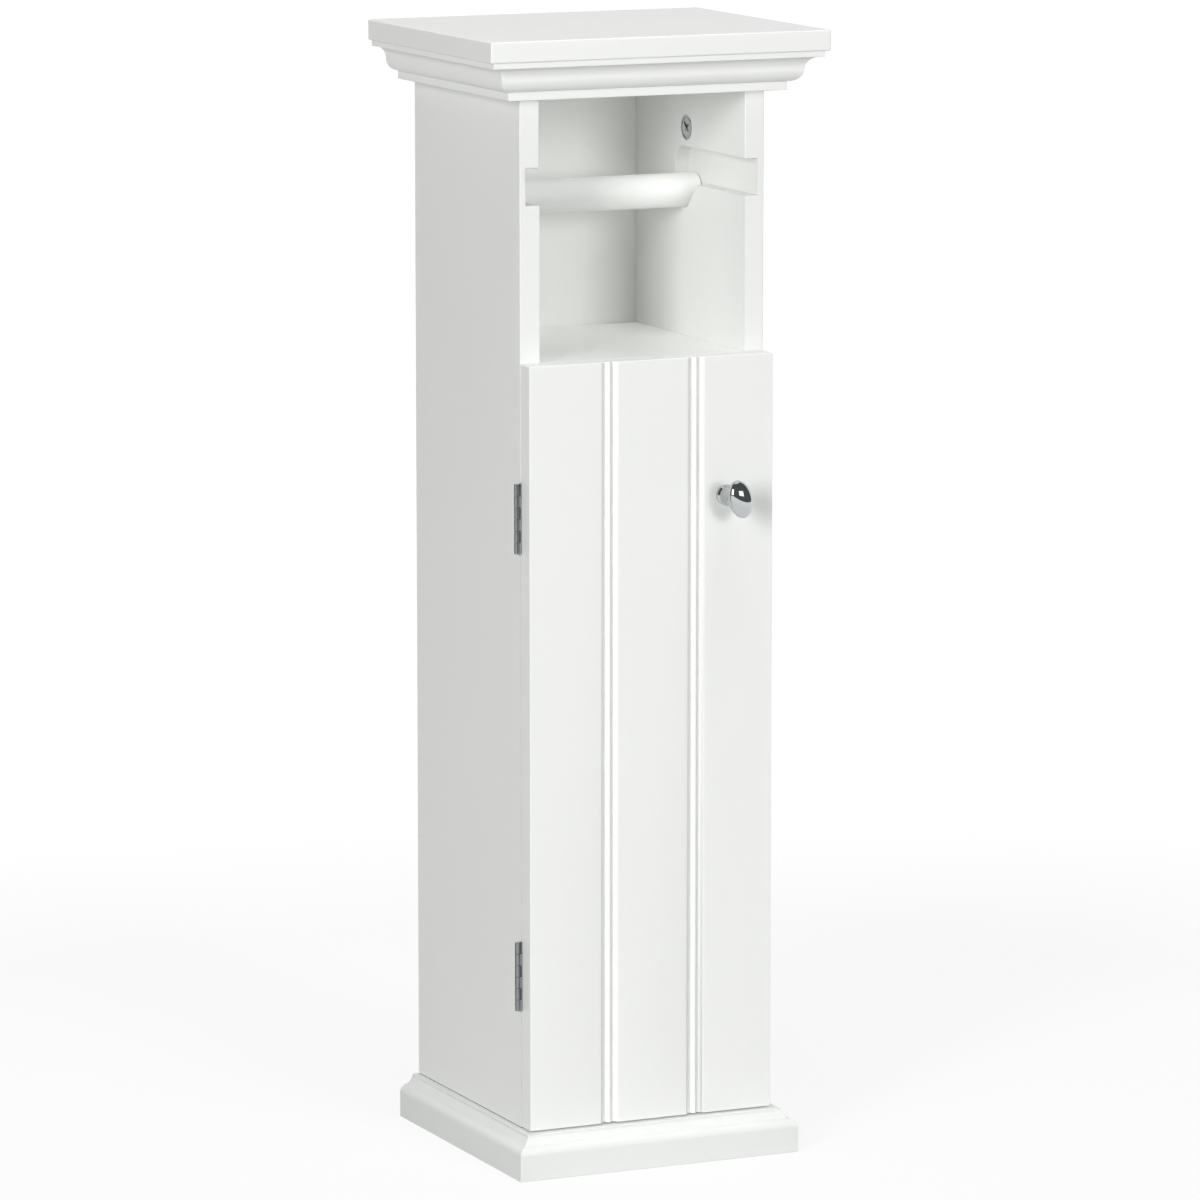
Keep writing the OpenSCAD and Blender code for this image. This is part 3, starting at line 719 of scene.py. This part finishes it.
def mouldingLength(node, section, bores, coat, **inputs):
    bm = bmesh.new()
    bm.faces.new([bm.verts.new((0, p.x * mm, p.y * mm)) for p in section])
    worker = asObject(pieceName(node), bm)
    useTree(worker, mitredLength, finish=coat, **inputs)
    length = baked(worker, worker.name)
    if bores:
        length = cutAway(length, *bores)
    standFor(length, node, coat)


# the front length and both side lengths round a carcass, from the section's inner edge
def mouldingRound(look, node, section, coat, boresIn=None):
    half, front, rear = [look[key] * mm for key in ("halfInner", "innerFront", "rear")]
    low = look["low"] * mm
    runs = {
        "front": {"from": -half, "to": half, "fromMitre": 1.0, "toMitre": 1.0, "turn": math.pi,
                  "place": (0, front, low)},
        "left": {"from": front, "to": rear, "fromMitre": 1.0, "toMitre": 0.0,
                 "turn": math.pi / 2, "place": (-half, 0, low)},
        "right": {"from": -rear, "to": -front, "fromMitre": 0.0, "toMitre": 1.0,
                  "turn": -math.pi / 2, "place": (half, 0, low)},
    }
    for side, run in runs.items():
        bores = boresIn(side) if boresIn else []
        mouldingLength(node + "_" + side, section, bores, coat, **run)


mitredLength = mouldingTree()
mouldingRound(crown, "crown_moulding", crownSection(), boardLacquer)
print("crown moulding run and mitred")


# the boxes of a CAD node's separate solids, in mm
def solidsOf(node):
    bm = bmesh.new()
    bm.from_mesh(cadNodes[node].data)
    bmesh.ops.remove_doubles(bm, verts=bm.verts, dist=cadMerge)
    left = set(bm.verts)
    boxes = []
    while left:
        group = [left.pop()]
        low, high = group[0].co.copy(), group[0].co.copy()
        while group:
            v = group.pop()
            low = Vector(map(min, low, v.co))
            high = Vector(map(max, high, v.co))
            for edge in v.link_edges:
                other = edge.other_vert(v)
                if other in left:
                    left.remove(other)
                    group.append(other)
        boxes.append((low / mm, high / mm))
    bm.free()
    boxes.sort(key=lambda box: tuple(round(c, 2) for c in box[0]))
    return boxes


# moulded plinth: an upright face, a round, a slope and a flat top that carries the carcass
plinth = {
    "halfInner": 50, "innerFront": -44, "rear": 94, "low": 0, "width": 38, "height": 25,
    "face": 14.5, "round": 5, "stepIn": 8, "edge": 1.5, "ease": 0.5, "arcSteps": 12,
    "slopeEase": 0.8, "topEase": 0.3,
    "boreR": 1.95, "sinkR": 3.85, "counterR": 4.5, "counterDeep": 4,
}


def plinthSection():
    p = plinth
    middle, top = p["width"] - p["round"], p["width"] - p["stepIn"]
    points = roundedOutline([(0, 0, 0), (p["width"], 0, p["ease"]), (p["width"], p["face"], 0)],
                            closed=False)
    for k in range(1, p["arcSteps"] + 1):
        a = math.pi / 2 * k / p["arcSteps"]
        points.append(Vector((middle + p["round"] * math.cos(a),
                              p["face"] + p["round"] * math.sin(a))))
    ledge = [(middle, p["face"] + p["round"], 0), (top, p["height"] - p["edge"], p["slopeEase"]),
             (top, p["height"], p["topEase"]), (0, p["height"], 0)]
    return points + roundedOutline(ledge, closed=False)[1:]


def plinthBores(side):
    p = plinth
    bores = []
    for low, high in solidsOf("plinth_screws"):
        at = (low + high) / 2
        place = "rear" if at.y > p["innerFront"] else "front"
        if abs(at.x) > p["halfInner"]:
            place = "left" if at.x < 0 else "right"
        if place != side:
            continue
        bore = turned("bore", [
            (0, -1), (p["counterR"], -1), (p["counterR"], p["counterDeep"]),
            (p["sinkR"], p["counterDeep"]),
            (p["boreR"], p["counterDeep"] + p["sinkR"] - p["boreR"]),
            (p["boreR"], p["height"] + 1), (0, p["height"] + 1)], sides=32)
        bores.append(placed(bore, (at.x, at.y, 0)))
    return bores


mouldingRound(plinth, "plinth", plinthSection(), plinthLacquer, plinthBores)
print("plinth run and mitred")


rollBar = {"radius": 10, "half": 72, "y": 26.5, "z": 550.5, "endEase": 1.2}


def makeRollBar():
    r, half, ease = rollBar["radius"], rollBar["half"], rollBar["endEase"]
    outline = roundedOutline([(0, -half, 0), (r, -half, ease), (r, half, ease), (0, half, 0)],
                             steps=6, closed=False)
    bar = placed(turned("rollBar", outline, sides=96), (0, rollBar["y"], rollBar["z"]), [("Y", 90)])
    standFor(bar, "roll_bar")


makeRollBar()
print("roll bar turned")


# a fitting on each place, turned to its aim and then rolled by chance
def placingTree():
    tree, given = startTree("fittingPlaces", {
        "Places": "Geometry", "Fitting": "Object", "Roll": "Float", "Seed": "Int",
        "Finish": "Material"}, "Fittings")
    aim = addNode(tree, "GeometryNodeInputNamedAttribute", {"Name": "aim"},
                  data_type="FLOAT_VECTOR")
    aimTurn = addNode(tree, "FunctionNodeEulerToRotation", {0: aim.outputs["Attribute"]})
    back = addNode(tree, "ShaderNodeMath", {0: given["Roll"], 1: -1.0}, operation="MULTIPLY")
    chance = addNode(tree, "FunctionNodeRandomValue", {
        2: back, 3: given["Roll"], "Seed": given["Seed"]}, data_type="FLOAT")
    rollAngle = addNode(tree, "ShaderNodeCombineXYZ", {"Z": chance.outputs[1]})
    rollTurn = addNode(tree, "FunctionNodeEulerToRotation", {0: rollAngle})
    both = addNode(tree, "FunctionNodeRotateRotation", {
        0: aimTurn, 1: rollTurn}, rotation_space="LOCAL")
    fitting = addNode(tree, "GeometryNodeObjectInfo", {
        "Object": given["Fitting"], "As Instance": True})
    put = addNode(tree, "GeometryNodeInstanceOnPoints", {
        "Points": given["Places"], "Instance": fitting.outputs["Geometry"], "Rotation": both})
    return closeTree(tree, put, given["Finish"])


fittingPlaces = placingTree()


# inward(centre) is the way a fitting goes in, and make(length) builds one at the origin along +Z
def placeFittings(node, inward, make, side=None, roll=0.0, seed=1):
    name = pieceName(node)
    groups = {}
    for low, high in solidsOf(node):
        centre = (low + high) / 2
        way = Vector(inward(centre))
        length = abs((high - low).dot(way))
        groups.setdefault(round(length, 1), []).append((centre - way * length / 2, way))
    parts = []
    for length, spots in sorted(groups.items()):
        mesh = bpy.data.meshes.new(name + "Places")
        mesh.from_pydata([spot * mm for spot, way in spots], [], [])
        aim = mesh.attributes.new("aim", "FLOAT_VECTOR", "POINT")
        for i, (spot, way) in enumerate(spots):
            across = side(spot) if side else (0, 0, 1)
            aim.data[i].vector = pointed(way, across).to_euler()
        fitting = make(length)
        worker = addObject(name, mesh)
        useTree(worker, fittingPlaces, fitting=fitting, roll=roll, seed=seed,
                finish=finishOf[slotOf[node]])
        parts.append(baked(worker, name))
        bpy.data.objects.remove(fitting)
    standFor(joined(name, parts), node)


# four-armed recess cutter, its mouth at z = 0
def crossCutter(reach, width, depth, taper=0.55):
    a, w = reach, width / 2
    outline = [(a, -w), (a, w), (w, w), (w, a), (-w, a), (-w, w),
               (-a, w), (-a, -w), (-w, -w), (-w, -a), (w, -a), (w, -w)]
    return lofted("crossCutter", outline, [(-0.5, 1.0), (0.0, 1.0), (depth, taper)])


# a thread cut into a shank of radius r past a height; a tapered tip has it too, only shallower
def threadShape(r, start, pitch, deep, crest, tapered=False):
    def ridge(angle, z, radius):
        if z <= start or (radius != r and not tapered):
            return 0
        phase = (z / pitch - angle / (2 * math.pi)) % 1
        return -deep * (1 - max(0, 1 - abs(phase - 0.5) / crest)) * radius / r

    return ridge


threadSteps = 6              # rings in one turn of any thread
screwShape = {
    "rim": 0.12, "core": 0.70, "crest": 0.28, "point": 2, "tip": 0.15, "tipSteps": 8,
    "neck": 4, "neckShare": 0.2, "roll": 0.8,
    # shares of the head's radius
    "crossReach": 0.56, "crossWidth": 0.26, "crossDeep": 0.5,
}
boardScrew = {"r": 1.9, "headR": 3.8, "pitch": 2.2}
hingeScrew = {"r": 1.0, "headR": 2.1, "pitch": 1.1}
catchScrew = {"r": 1.3, "headR": 2.7, "pitch": 1.3}
strikeScrew = {"r": 1.3, "headR": 2.6, "pitch": 1.3}
woodScrews = {
    "plinth_screws": {"size": boardScrew, "inward": (0, 0, 1), "seed": 3},
    "top_board_screws": {"size": boardScrew, "inward": (0, 0, 1), "seed": 5},
    "cabinet_hinge_screws": {"size": hingeScrew, "inward": (0, 1, 0), "seed": 7},
    "door_hinge_screws": {"size": hingeScrew, "inward": (0, -1, 0), "seed": 9},
    "catch_screws": {"size": catchScrew, "inward": (1, 0, 0), "seed": 11},
    "strike_plate_screw": {"size": strikeScrew, "inward": (0, -1, 0), "seed": 13},
}


# countersunk wood screw: r is the shank's radius and headR the head's, all in mm
def woodScrew(length, r, headR, pitch):
    shape = screwShape
    rim, point = shape["rim"], shape["point"] * r
    headDepth = headR - r
    threadFrom = headDepth + min(shape["neck"], shape["neckShare"] * length)
    outline = [(0, 0), (headR - rim, 0), (headR, rim), (r, headDepth + rim), (r, threadFrom)]
    height = threadFrom
    while height < length - point:
        height += pitch / threadSteps
        outline.append((r, height))
    for k in range(1, shape["tipSteps"]):
        share = k / shape["tipSteps"]
        outline.append((r + (shape["tip"] - r) * share, length - point + point * share))
    outline.append((0, length))
    thread = threadShape(r, threadFrom, pitch, r - shape["core"] * r, shape["crest"], tapered=True)
    screw = turned("screw", outline, sides=20, shape=thread)
    return cutAway(screw, crossCutter(headR * shape["crossReach"], headR * shape["crossWidth"],
                                      headR * shape["crossDeep"]))


for nodeName, screw in woodScrews.items():
    placeFittings(nodeName, lambda c: screw["inward"],
                  lambda length: woodScrew(length, **screw["size"]), roll=screwShape["roll"],
                  seed=screw["seed"])


# panel pin: a thin domed head on a smooth shank
backPin = {"headR": 1.3, "headT": 0.6, "dome": 0.25, "underEase": 0.1, "shankR": 0.6, "tip": 1}


def makeBackPin(length):
    p = backPin
    outline = roundedOutline([
        (0, 0, 0), (p["headR"], 0, p["dome"]), (p["headR"], p["headT"], p["underEase"]),
        (p["shankR"], p["headT"], 0), (p["shankR"], length - p["tip"], 0), (0, length, 0)],
        steps=3, closed=False)
    return turned("pin", outline, sides=20)


placeFittings("back_panel_pins", lambda c: (0, -1, 0), makeBackPin)


# fluted dowel with chamfered ends
dowelLook = {"r": 3, "chamfer": 1, "flutes": 16, "fluteDepth": 0.28}


def makeDowel(length):
    r, edge = dowelLook["r"], dowelLook["chamfer"]
    outline = [(0, 0), (r - edge, 0), (r, edge), (r, length / 2), (r, length - edge),
               (r - edge, length), (0, length)]

    def flute(angle, z, radius):
        if radius < r - tiny:
            return 0
        return -dowelLook["fluteDepth"] * (0.5 + 0.5 * math.cos(angle * dowelLook["flutes"]))

    return turned("dowel", outline, sides=64, shape=flute)


crownJointFrom = 560         # fittings above this height hold the crown board to the panels


def outward(c):
    return (1, 0, 0) if c.x > 0 else (-1, 0, 0)


def jointWay(c):
    return (0, 0, 1) if c.z > crownJointFrom else outward(c)


placeFittings("dowels", jointWay, makeDowel)


# cam bolt: coarse thread, collar, thin neck and the ball that the cam grips
camBolt = {
    "threadR": 2.5, "threadL": 9, "threadDeep": 0.7, "crest": 0.3, "pitch": 2.5,
    "collarR": 2.9, "collarT": 1, "neckR": 1.7, "neckFrom": 4.6, "ballR": 2.6,
    "ballSteps": 10, "step": 0.05, "threadEnd": 1.2, "tip": 0.5, "tipR": 1.5,
}


def makeCamBolt(length):
    b = camBolt
    outline = [(0, 0)]
    for k in range(1, b["ballSteps"] - 1):
        a = math.pi * k / b["ballSteps"]
        outline.append((b["ballR"] * math.sin(a), b["ballR"] - b["ballR"] * math.cos(a)))
    threadAt = length - b["threadL"]
    collarAt = threadAt - b["collarT"]
    outline += [(b["neckR"], b["neckFrom"]), (b["neckR"], collarAt),
                (b["collarR"], collarAt + b["step"]), (b["collarR"], threadAt)]
    height = threadAt + tiny
    outline.append((b["threadR"], height))
    while height < length - b["threadEnd"]:
        height += b["pitch"] / threadSteps
        outline.append((b["threadR"], min(height, length - b["tip"])))
    outline += [(b["tipR"], length), (0, length)]
    thread = threadShape(b["threadR"], threadAt, b["pitch"], b["threadDeep"], b["crest"])
    return turned("bolt", outline, sides=24, shape=thread)


placeFittings("cam_bolts", jointWay, makeCamBolt)


# cam lock: a groove inside the rim, a cross recess with one long slot, a pointer notch and the
# bolt's way in
camLock = {
    "r": 7.45, "rim": 0.8, "groove": 0.8, "dish": 0.2, "deep": 0.9, "ease": 0.1, "rimEase": 0.2,
    "footEase": 0.3, "crossReach": 3.4, "crossWidth": 1.8, "crossDeep": 2.6, "slotReach": 4.6,
    "slotDeep": 1.6, "crossTurn": -45, "notchTurn": 45, "notchDeep": 1.5,
    "notch": [(-1.9, 0.75), (1, 1.1)],      # out from the edge, and half the width there
    "boltR": 3.0, "boltAt": 6.0, "boltFrom": 0.55, "boltTo": 9,
}


def makeCamLock(length):
    c = camLock
    rim = c["r"] - c["rim"]
    face = rim - c["groove"]
    outline = roundedOutline([
        (0, c["dish"], 0), (face, c["dish"], c["ease"]), (face, c["deep"], 0), (rim, c["deep"], 0),
        (rim, 0, c["ease"]), (c["r"], 0, c["rimEase"]), (c["r"], length, c["footEase"]),
        (0, length, 0)], steps=3, closed=False)
    body = turned("camLock", outline, sides=64)
    cross = crossCutter(c["crossReach"], c["crossWidth"], c["crossDeep"])
    a, w = c["slotReach"], c["crossWidth"] / 2
    slot = lofted("slot", [(-a, -w), (a, -w), (a, w), (-a, w)], [(-1, 1), (c["slotDeep"], 1)])
    for cutter in (cross, slot):
        placed(cutter, turns=[("Z", c["crossTurn"])])
    inner, outer = [(c["r"] + out, half) for out, half in c["notch"]]
    notch = lofted("notch", [(inner[0], -inner[1]), (outer[0], -outer[1]), outer, inner],
                   [(-1, 1), (c["notchDeep"], 1)])
    placed(notch, turns=[("Z", c["notchTurn"])])
    wayIn = turned("wayIn", [(0, c["boltFrom"]), (c["boltR"], c["boltFrom"]),
                             (c["boltR"], c["boltTo"]), (0, c["boltTo"])], sides=32)
    placed(wayIn, (0, 0, c["boltAt"]), [("Y", 90)])
    return cutAway(body, cross, slot, notch, wayIn)


# the locks of the crown joint lie in the panels' faces, the others in the boards' undersides
def camWay(c):
    return outward(c) if c.z > crownJointFrom else (0, 0, 1)


placeFittings("cam_locks", camWay, makeCamLock, jointWay)
print("fittings placed")


# knuckles at even steps down the pin, joined to their leaf's plate
def knuckleTree():
    tree, given = startTree("knuckleRow", {
        "Plate": "Geometry", "Knuckle": "Object", "Count": "Int", "First": "Vector",
        "Pitch": "Float", "Finish": "Material"}, "Leaf")
    down = addNode(tree, "ShaderNodeMath", {0: given["Pitch"], 1: -1.0}, operation="MULTIPLY")
    step = addNode(tree, "ShaderNodeCombineXYZ", {"Z": down})
    row = addNode(tree, "GeometryNodeMeshLine", {
        "Count": given["Count"], "Start Location": given["First"], "Offset": step}, mode="OFFSET")
    one = addNode(tree, "GeometryNodeObjectInfo", {"Object": given["Knuckle"], "As Instance": True})
    put = addNode(tree, "GeometryNodeInstanceOnPoints", {
        "Points": row, "Instance": one.outputs["Geometry"]})
    leaf = addNode(tree, "GeometryNodeJoinGeometry")
    tree.links.new(put.outputs[0], leaf.inputs[0])
    tree.links.new(given["Plate"], leaf.inputs[0])
    return closeTree(tree, leaf, given["Finish"])


knuckleRow = knuckleTree()


# one knuckle centred on the pin, with the strap that cranks in to it from its leaf; side is 1
# for the cabinet's leaf, whose straps are thick, and -1 for the door's
def makeKnuckle(side):
    h = hinge
    r, t = h["barrelR"], h["leafT"]
    tall = h["length"] / h["knuckles"] - h["gap"]
    strapAt = h["leafFrom"] + h["strapPlay"]
    outline = [(strapAt, side * (r - t)), (strapAt, side * r)]
    start, end = math.radians(h["strapAngle"]), 2 * math.pi - math.radians(h["curlOpen"])
    if side > 0:
        outline = [(h["blockTo"], -h["blockFront"]), (h["blockTo"], r)]
        start, end = math.pi / 2, 2 * math.pi - math.asin(h["blockFront"] / r)
    for k in range(h["arcSteps"] + 1):
        a = start + (end - start) * k / h["arcSteps"]
        outline.append((r * math.cos(a), side * r * math.sin(a)))
    ends = [(h["ease"] * share, scale) for share, scale in h["endShape"]]
    knuckle = lofted("knuckle", outline, [(-tall / 2 + up, scale) for up, scale in ends]
                     + [(tall / 2 - up, scale) for up, scale in reversed(ends)])
    bore = turned("bore", [(0, -tall), (h["boreR"], -tall), (h["boreR"], tall), (0, tall)],
                  sides=24)
    return cutAway(knuckle, bore)


def makeLeafPlate(side, z):
    h = hinge
    y = (h["barrelR"] - h["leafT"]) if side > 0 else -h["barrelR"]
    half = h["length"] / 2
    outline = roundedOutline([
        (h["leafFrom"], -half, h["leafEase"]), (h["leafTo"], -half, h["corner"]),
        (h["leafTo"], half, h["corner"]), (h["leafFrom"], half, h["leafEase"])])
    leaf = lofted("leaf", outline, [(0, 1.0), (h["leafT"], 1.0)])
    holes = []
    for sign in (-1, 1):
        hole = turned("hole", [
            (0, -1), (h["screwHeadR"] + h["sinkPlay"], -1), (h["screwHeadR"], h["sinkPlay"]),
            (h["screwR"], h["screwHeadR"] - h["screwR"]), (h["screwR"], h["holeTo"]),
            (0, h["holeTo"])], sides=32)
        if side < 0:
            placed(hole, (0, 0, h["leafT"]), [("X", 180)])
        holes.append(placed(hole, (h["screwX"], sign * h["screwZ"], 0)))
    leaf = cutAway(leaf, *holes)
    leaf.data.transform(Matrix(((1, 0, 0, 0), (0, 0, 1, 0), (0, 1, 0, 0), (0, 0, 0, 1))))
    leaf.data.flip_normals()
    return placed(leaf, (h["x"], h["y"] + y, z))


def makeLeaf(which, side, firstKnuckle):
    h = hinge
    z = h["rows"][which]
    node = which + "_hinge_" + ("cabinet" if side > 0 else "door") + "_leaf"
    pitch = h["length"] / h["knuckles"]
    top = z + h["length"] / 2 - (firstKnuckle + 0.5) * pitch
    worker = makeLeafPlate(side, z)
    worker.name = pieceName(node)
    knuckle = makeKnuckle(side)
    useTree(worker, knuckleRow, knuckle=knuckle, count=h["knuckles"] // 2,
            first=(h["x"] * mm, h["y"] * mm, top * mm), pitch=2 * pitch * mm, finish=nickel)
    leaf = baked(worker, worker.name)
    bpy.data.objects.remove(knuckle)
    standFor(leaf, node)


def makeHingePin(which):
    h = hinge
    r, half = h["pinR"], h["length"] / 2
    outline = roundedOutline([(0, -half, 0), (r, -half, h["pinEase"]), (r, half, h["pinEase"]),
                              (0, half, 0)], closed=False)
    pin = turned(which + "HingePin", outline, sides=24)
    placed(pin, (h["x"], h["y"], h["rows"][which]))
    standFor(pin, which + "_hinge_pin")


for rowName in hinge["rows"]:
    makeLeaf(rowName, 1, 0)
    makeLeaf(rowName, -1, 1)
for rowName in hinge["rows"]:
    makeHingePin(rowName)
print("hinges made")


# magnetic catch and its strike plate
catch = {
    "catch_housing": {"radius": 0.7},
    "catch_magnet": {"radius": 0.3},
    "catch_pole_plates": {"radius": 0.15},
    "strike_plate": {"radius": 0.15},
}
for nodeName, catchPiece in catch.items():
    eased(nodeName, rimUnder=0.9, **catchPiece)
print("catch made")


knob = {
    "x": 46, "z": 386, "doorFace": -69, "out": 25, "headL": 22.4, "headW": 14.6, "headT": 10,
    "turn": 15, "screwR": 2.05, "screwDeep": 9, "boreLip": 0.3, "sides": 64, "headRings": 30,
    "crisp": 60,
    # (radius, height, rounding) from the foot on the door to the neck under the head
    "stem": [(6, 0, 0.4), (6, 2.2, 0.6), (4.8, 3.8, 1.8), (4.3, 9, 4.0), (4.4, 12, 6.0),
             (5.0, 15.2, 0)],
}


def makeKnob():
    k = knob
    stem = roundedOutline([(k["screwR"], 0, 0)] + k["stem"], steps=6, closed=False)
    a, b = k["headW"] / 2, k["headL"] / 2
    middle, neckR = k["out"] - k["headT"] / 2, k["stem"][-1][0]
    turns = [2 * math.pi * i / k["sides"] for i in range(k["sides"])]
    bore = [(k["screwR"], k["screwDeep"]), (k["screwR"], k["boreLip"])]
    rings = [[(0, 0, k["screwDeep"] * mm)]]
    for radius, height in bore + [tuple(p) for p in stem]:
        rings.append([(radius * math.cos(t) * mm, radius * math.sin(t) * mm, height * mm)
                      for t in turns])
    for i in range(k["headRings"] + 1):
        ring = []
        for t in turns:
            reach = 1 / math.hypot(math.cos(t) / a, math.sin(t) / b)
            first = math.asin(neckR / reach)
            lat = first + (math.pi - first) * i / k["headRings"]
            wide = reach * math.sin(lat)
            high = middle - k["headT"] / 2 * math.cos(lat)
            ring.append((wide * math.cos(t) * mm, wide * math.sin(t) * mm, high * mm))
        rings.append(ring if i < k["headRings"] else [(0, 0, k["out"] * mm)])
    piece = placed(skinned("knob", rings), (k["x"], k["doorFace"], k["z"]),
                   [("Z", k["turn"]), ("X", 90)])
    standFor(piece, "knob", crisp=k["crisp"])


makeKnob()


# pan-head machine screw from inside the door
knobScrew = {
    "headR": 3.9, "headH": 2.3, "panRound": 1.1, "panIn": 0.4, "ease": 0.1, "r": 2.0,
    "shankFrom": 2.8, "threadEnd": 0.8, "pitch": 0.9,
    "crest": 0.4, "threadDeep": 0.3, "threadAfter": 4, "tipR": 1.4, "crossReach": 2.0,
    "crossWidth": 1.0, "crossDeep": 1.4, "roll": 0.6, "seed": 17,
}


def makeKnobScrew(length):
    s = knobScrew
    outline = roundedOutline([
        (0, 0, 0), (s["headR"] - s["panIn"], 0, s["panRound"]), (s["headR"], s["headH"], s["ease"]),
        (s["r"], s["headH"], 0)], steps=5, closed=False)
    outline = [tuple(p) for p in outline]
    height = s["shankFrom"]
    while height < length - s["threadEnd"]:
        outline.append((s["r"], height))
        height += s["pitch"] / threadSteps
    outline += [(s["tipR"], length), (0, length)]
    thread = threadShape(s["r"], s["headH"] + s["threadAfter"], s["pitch"], s["threadDeep"],
                         s["crest"])
    screw = turned("knobScrew", outline, sides=24, shape=thread)
    return cutAway(screw, crossCutter(s["crossReach"], s["crossWidth"], s["crossDeep"]))


placeFittings("knob_screw", lambda c: (0, -1, 0), makeKnobScrew, roll=knobScrew["roll"],
              seed=knobScrew["seed"])
print("knob made")
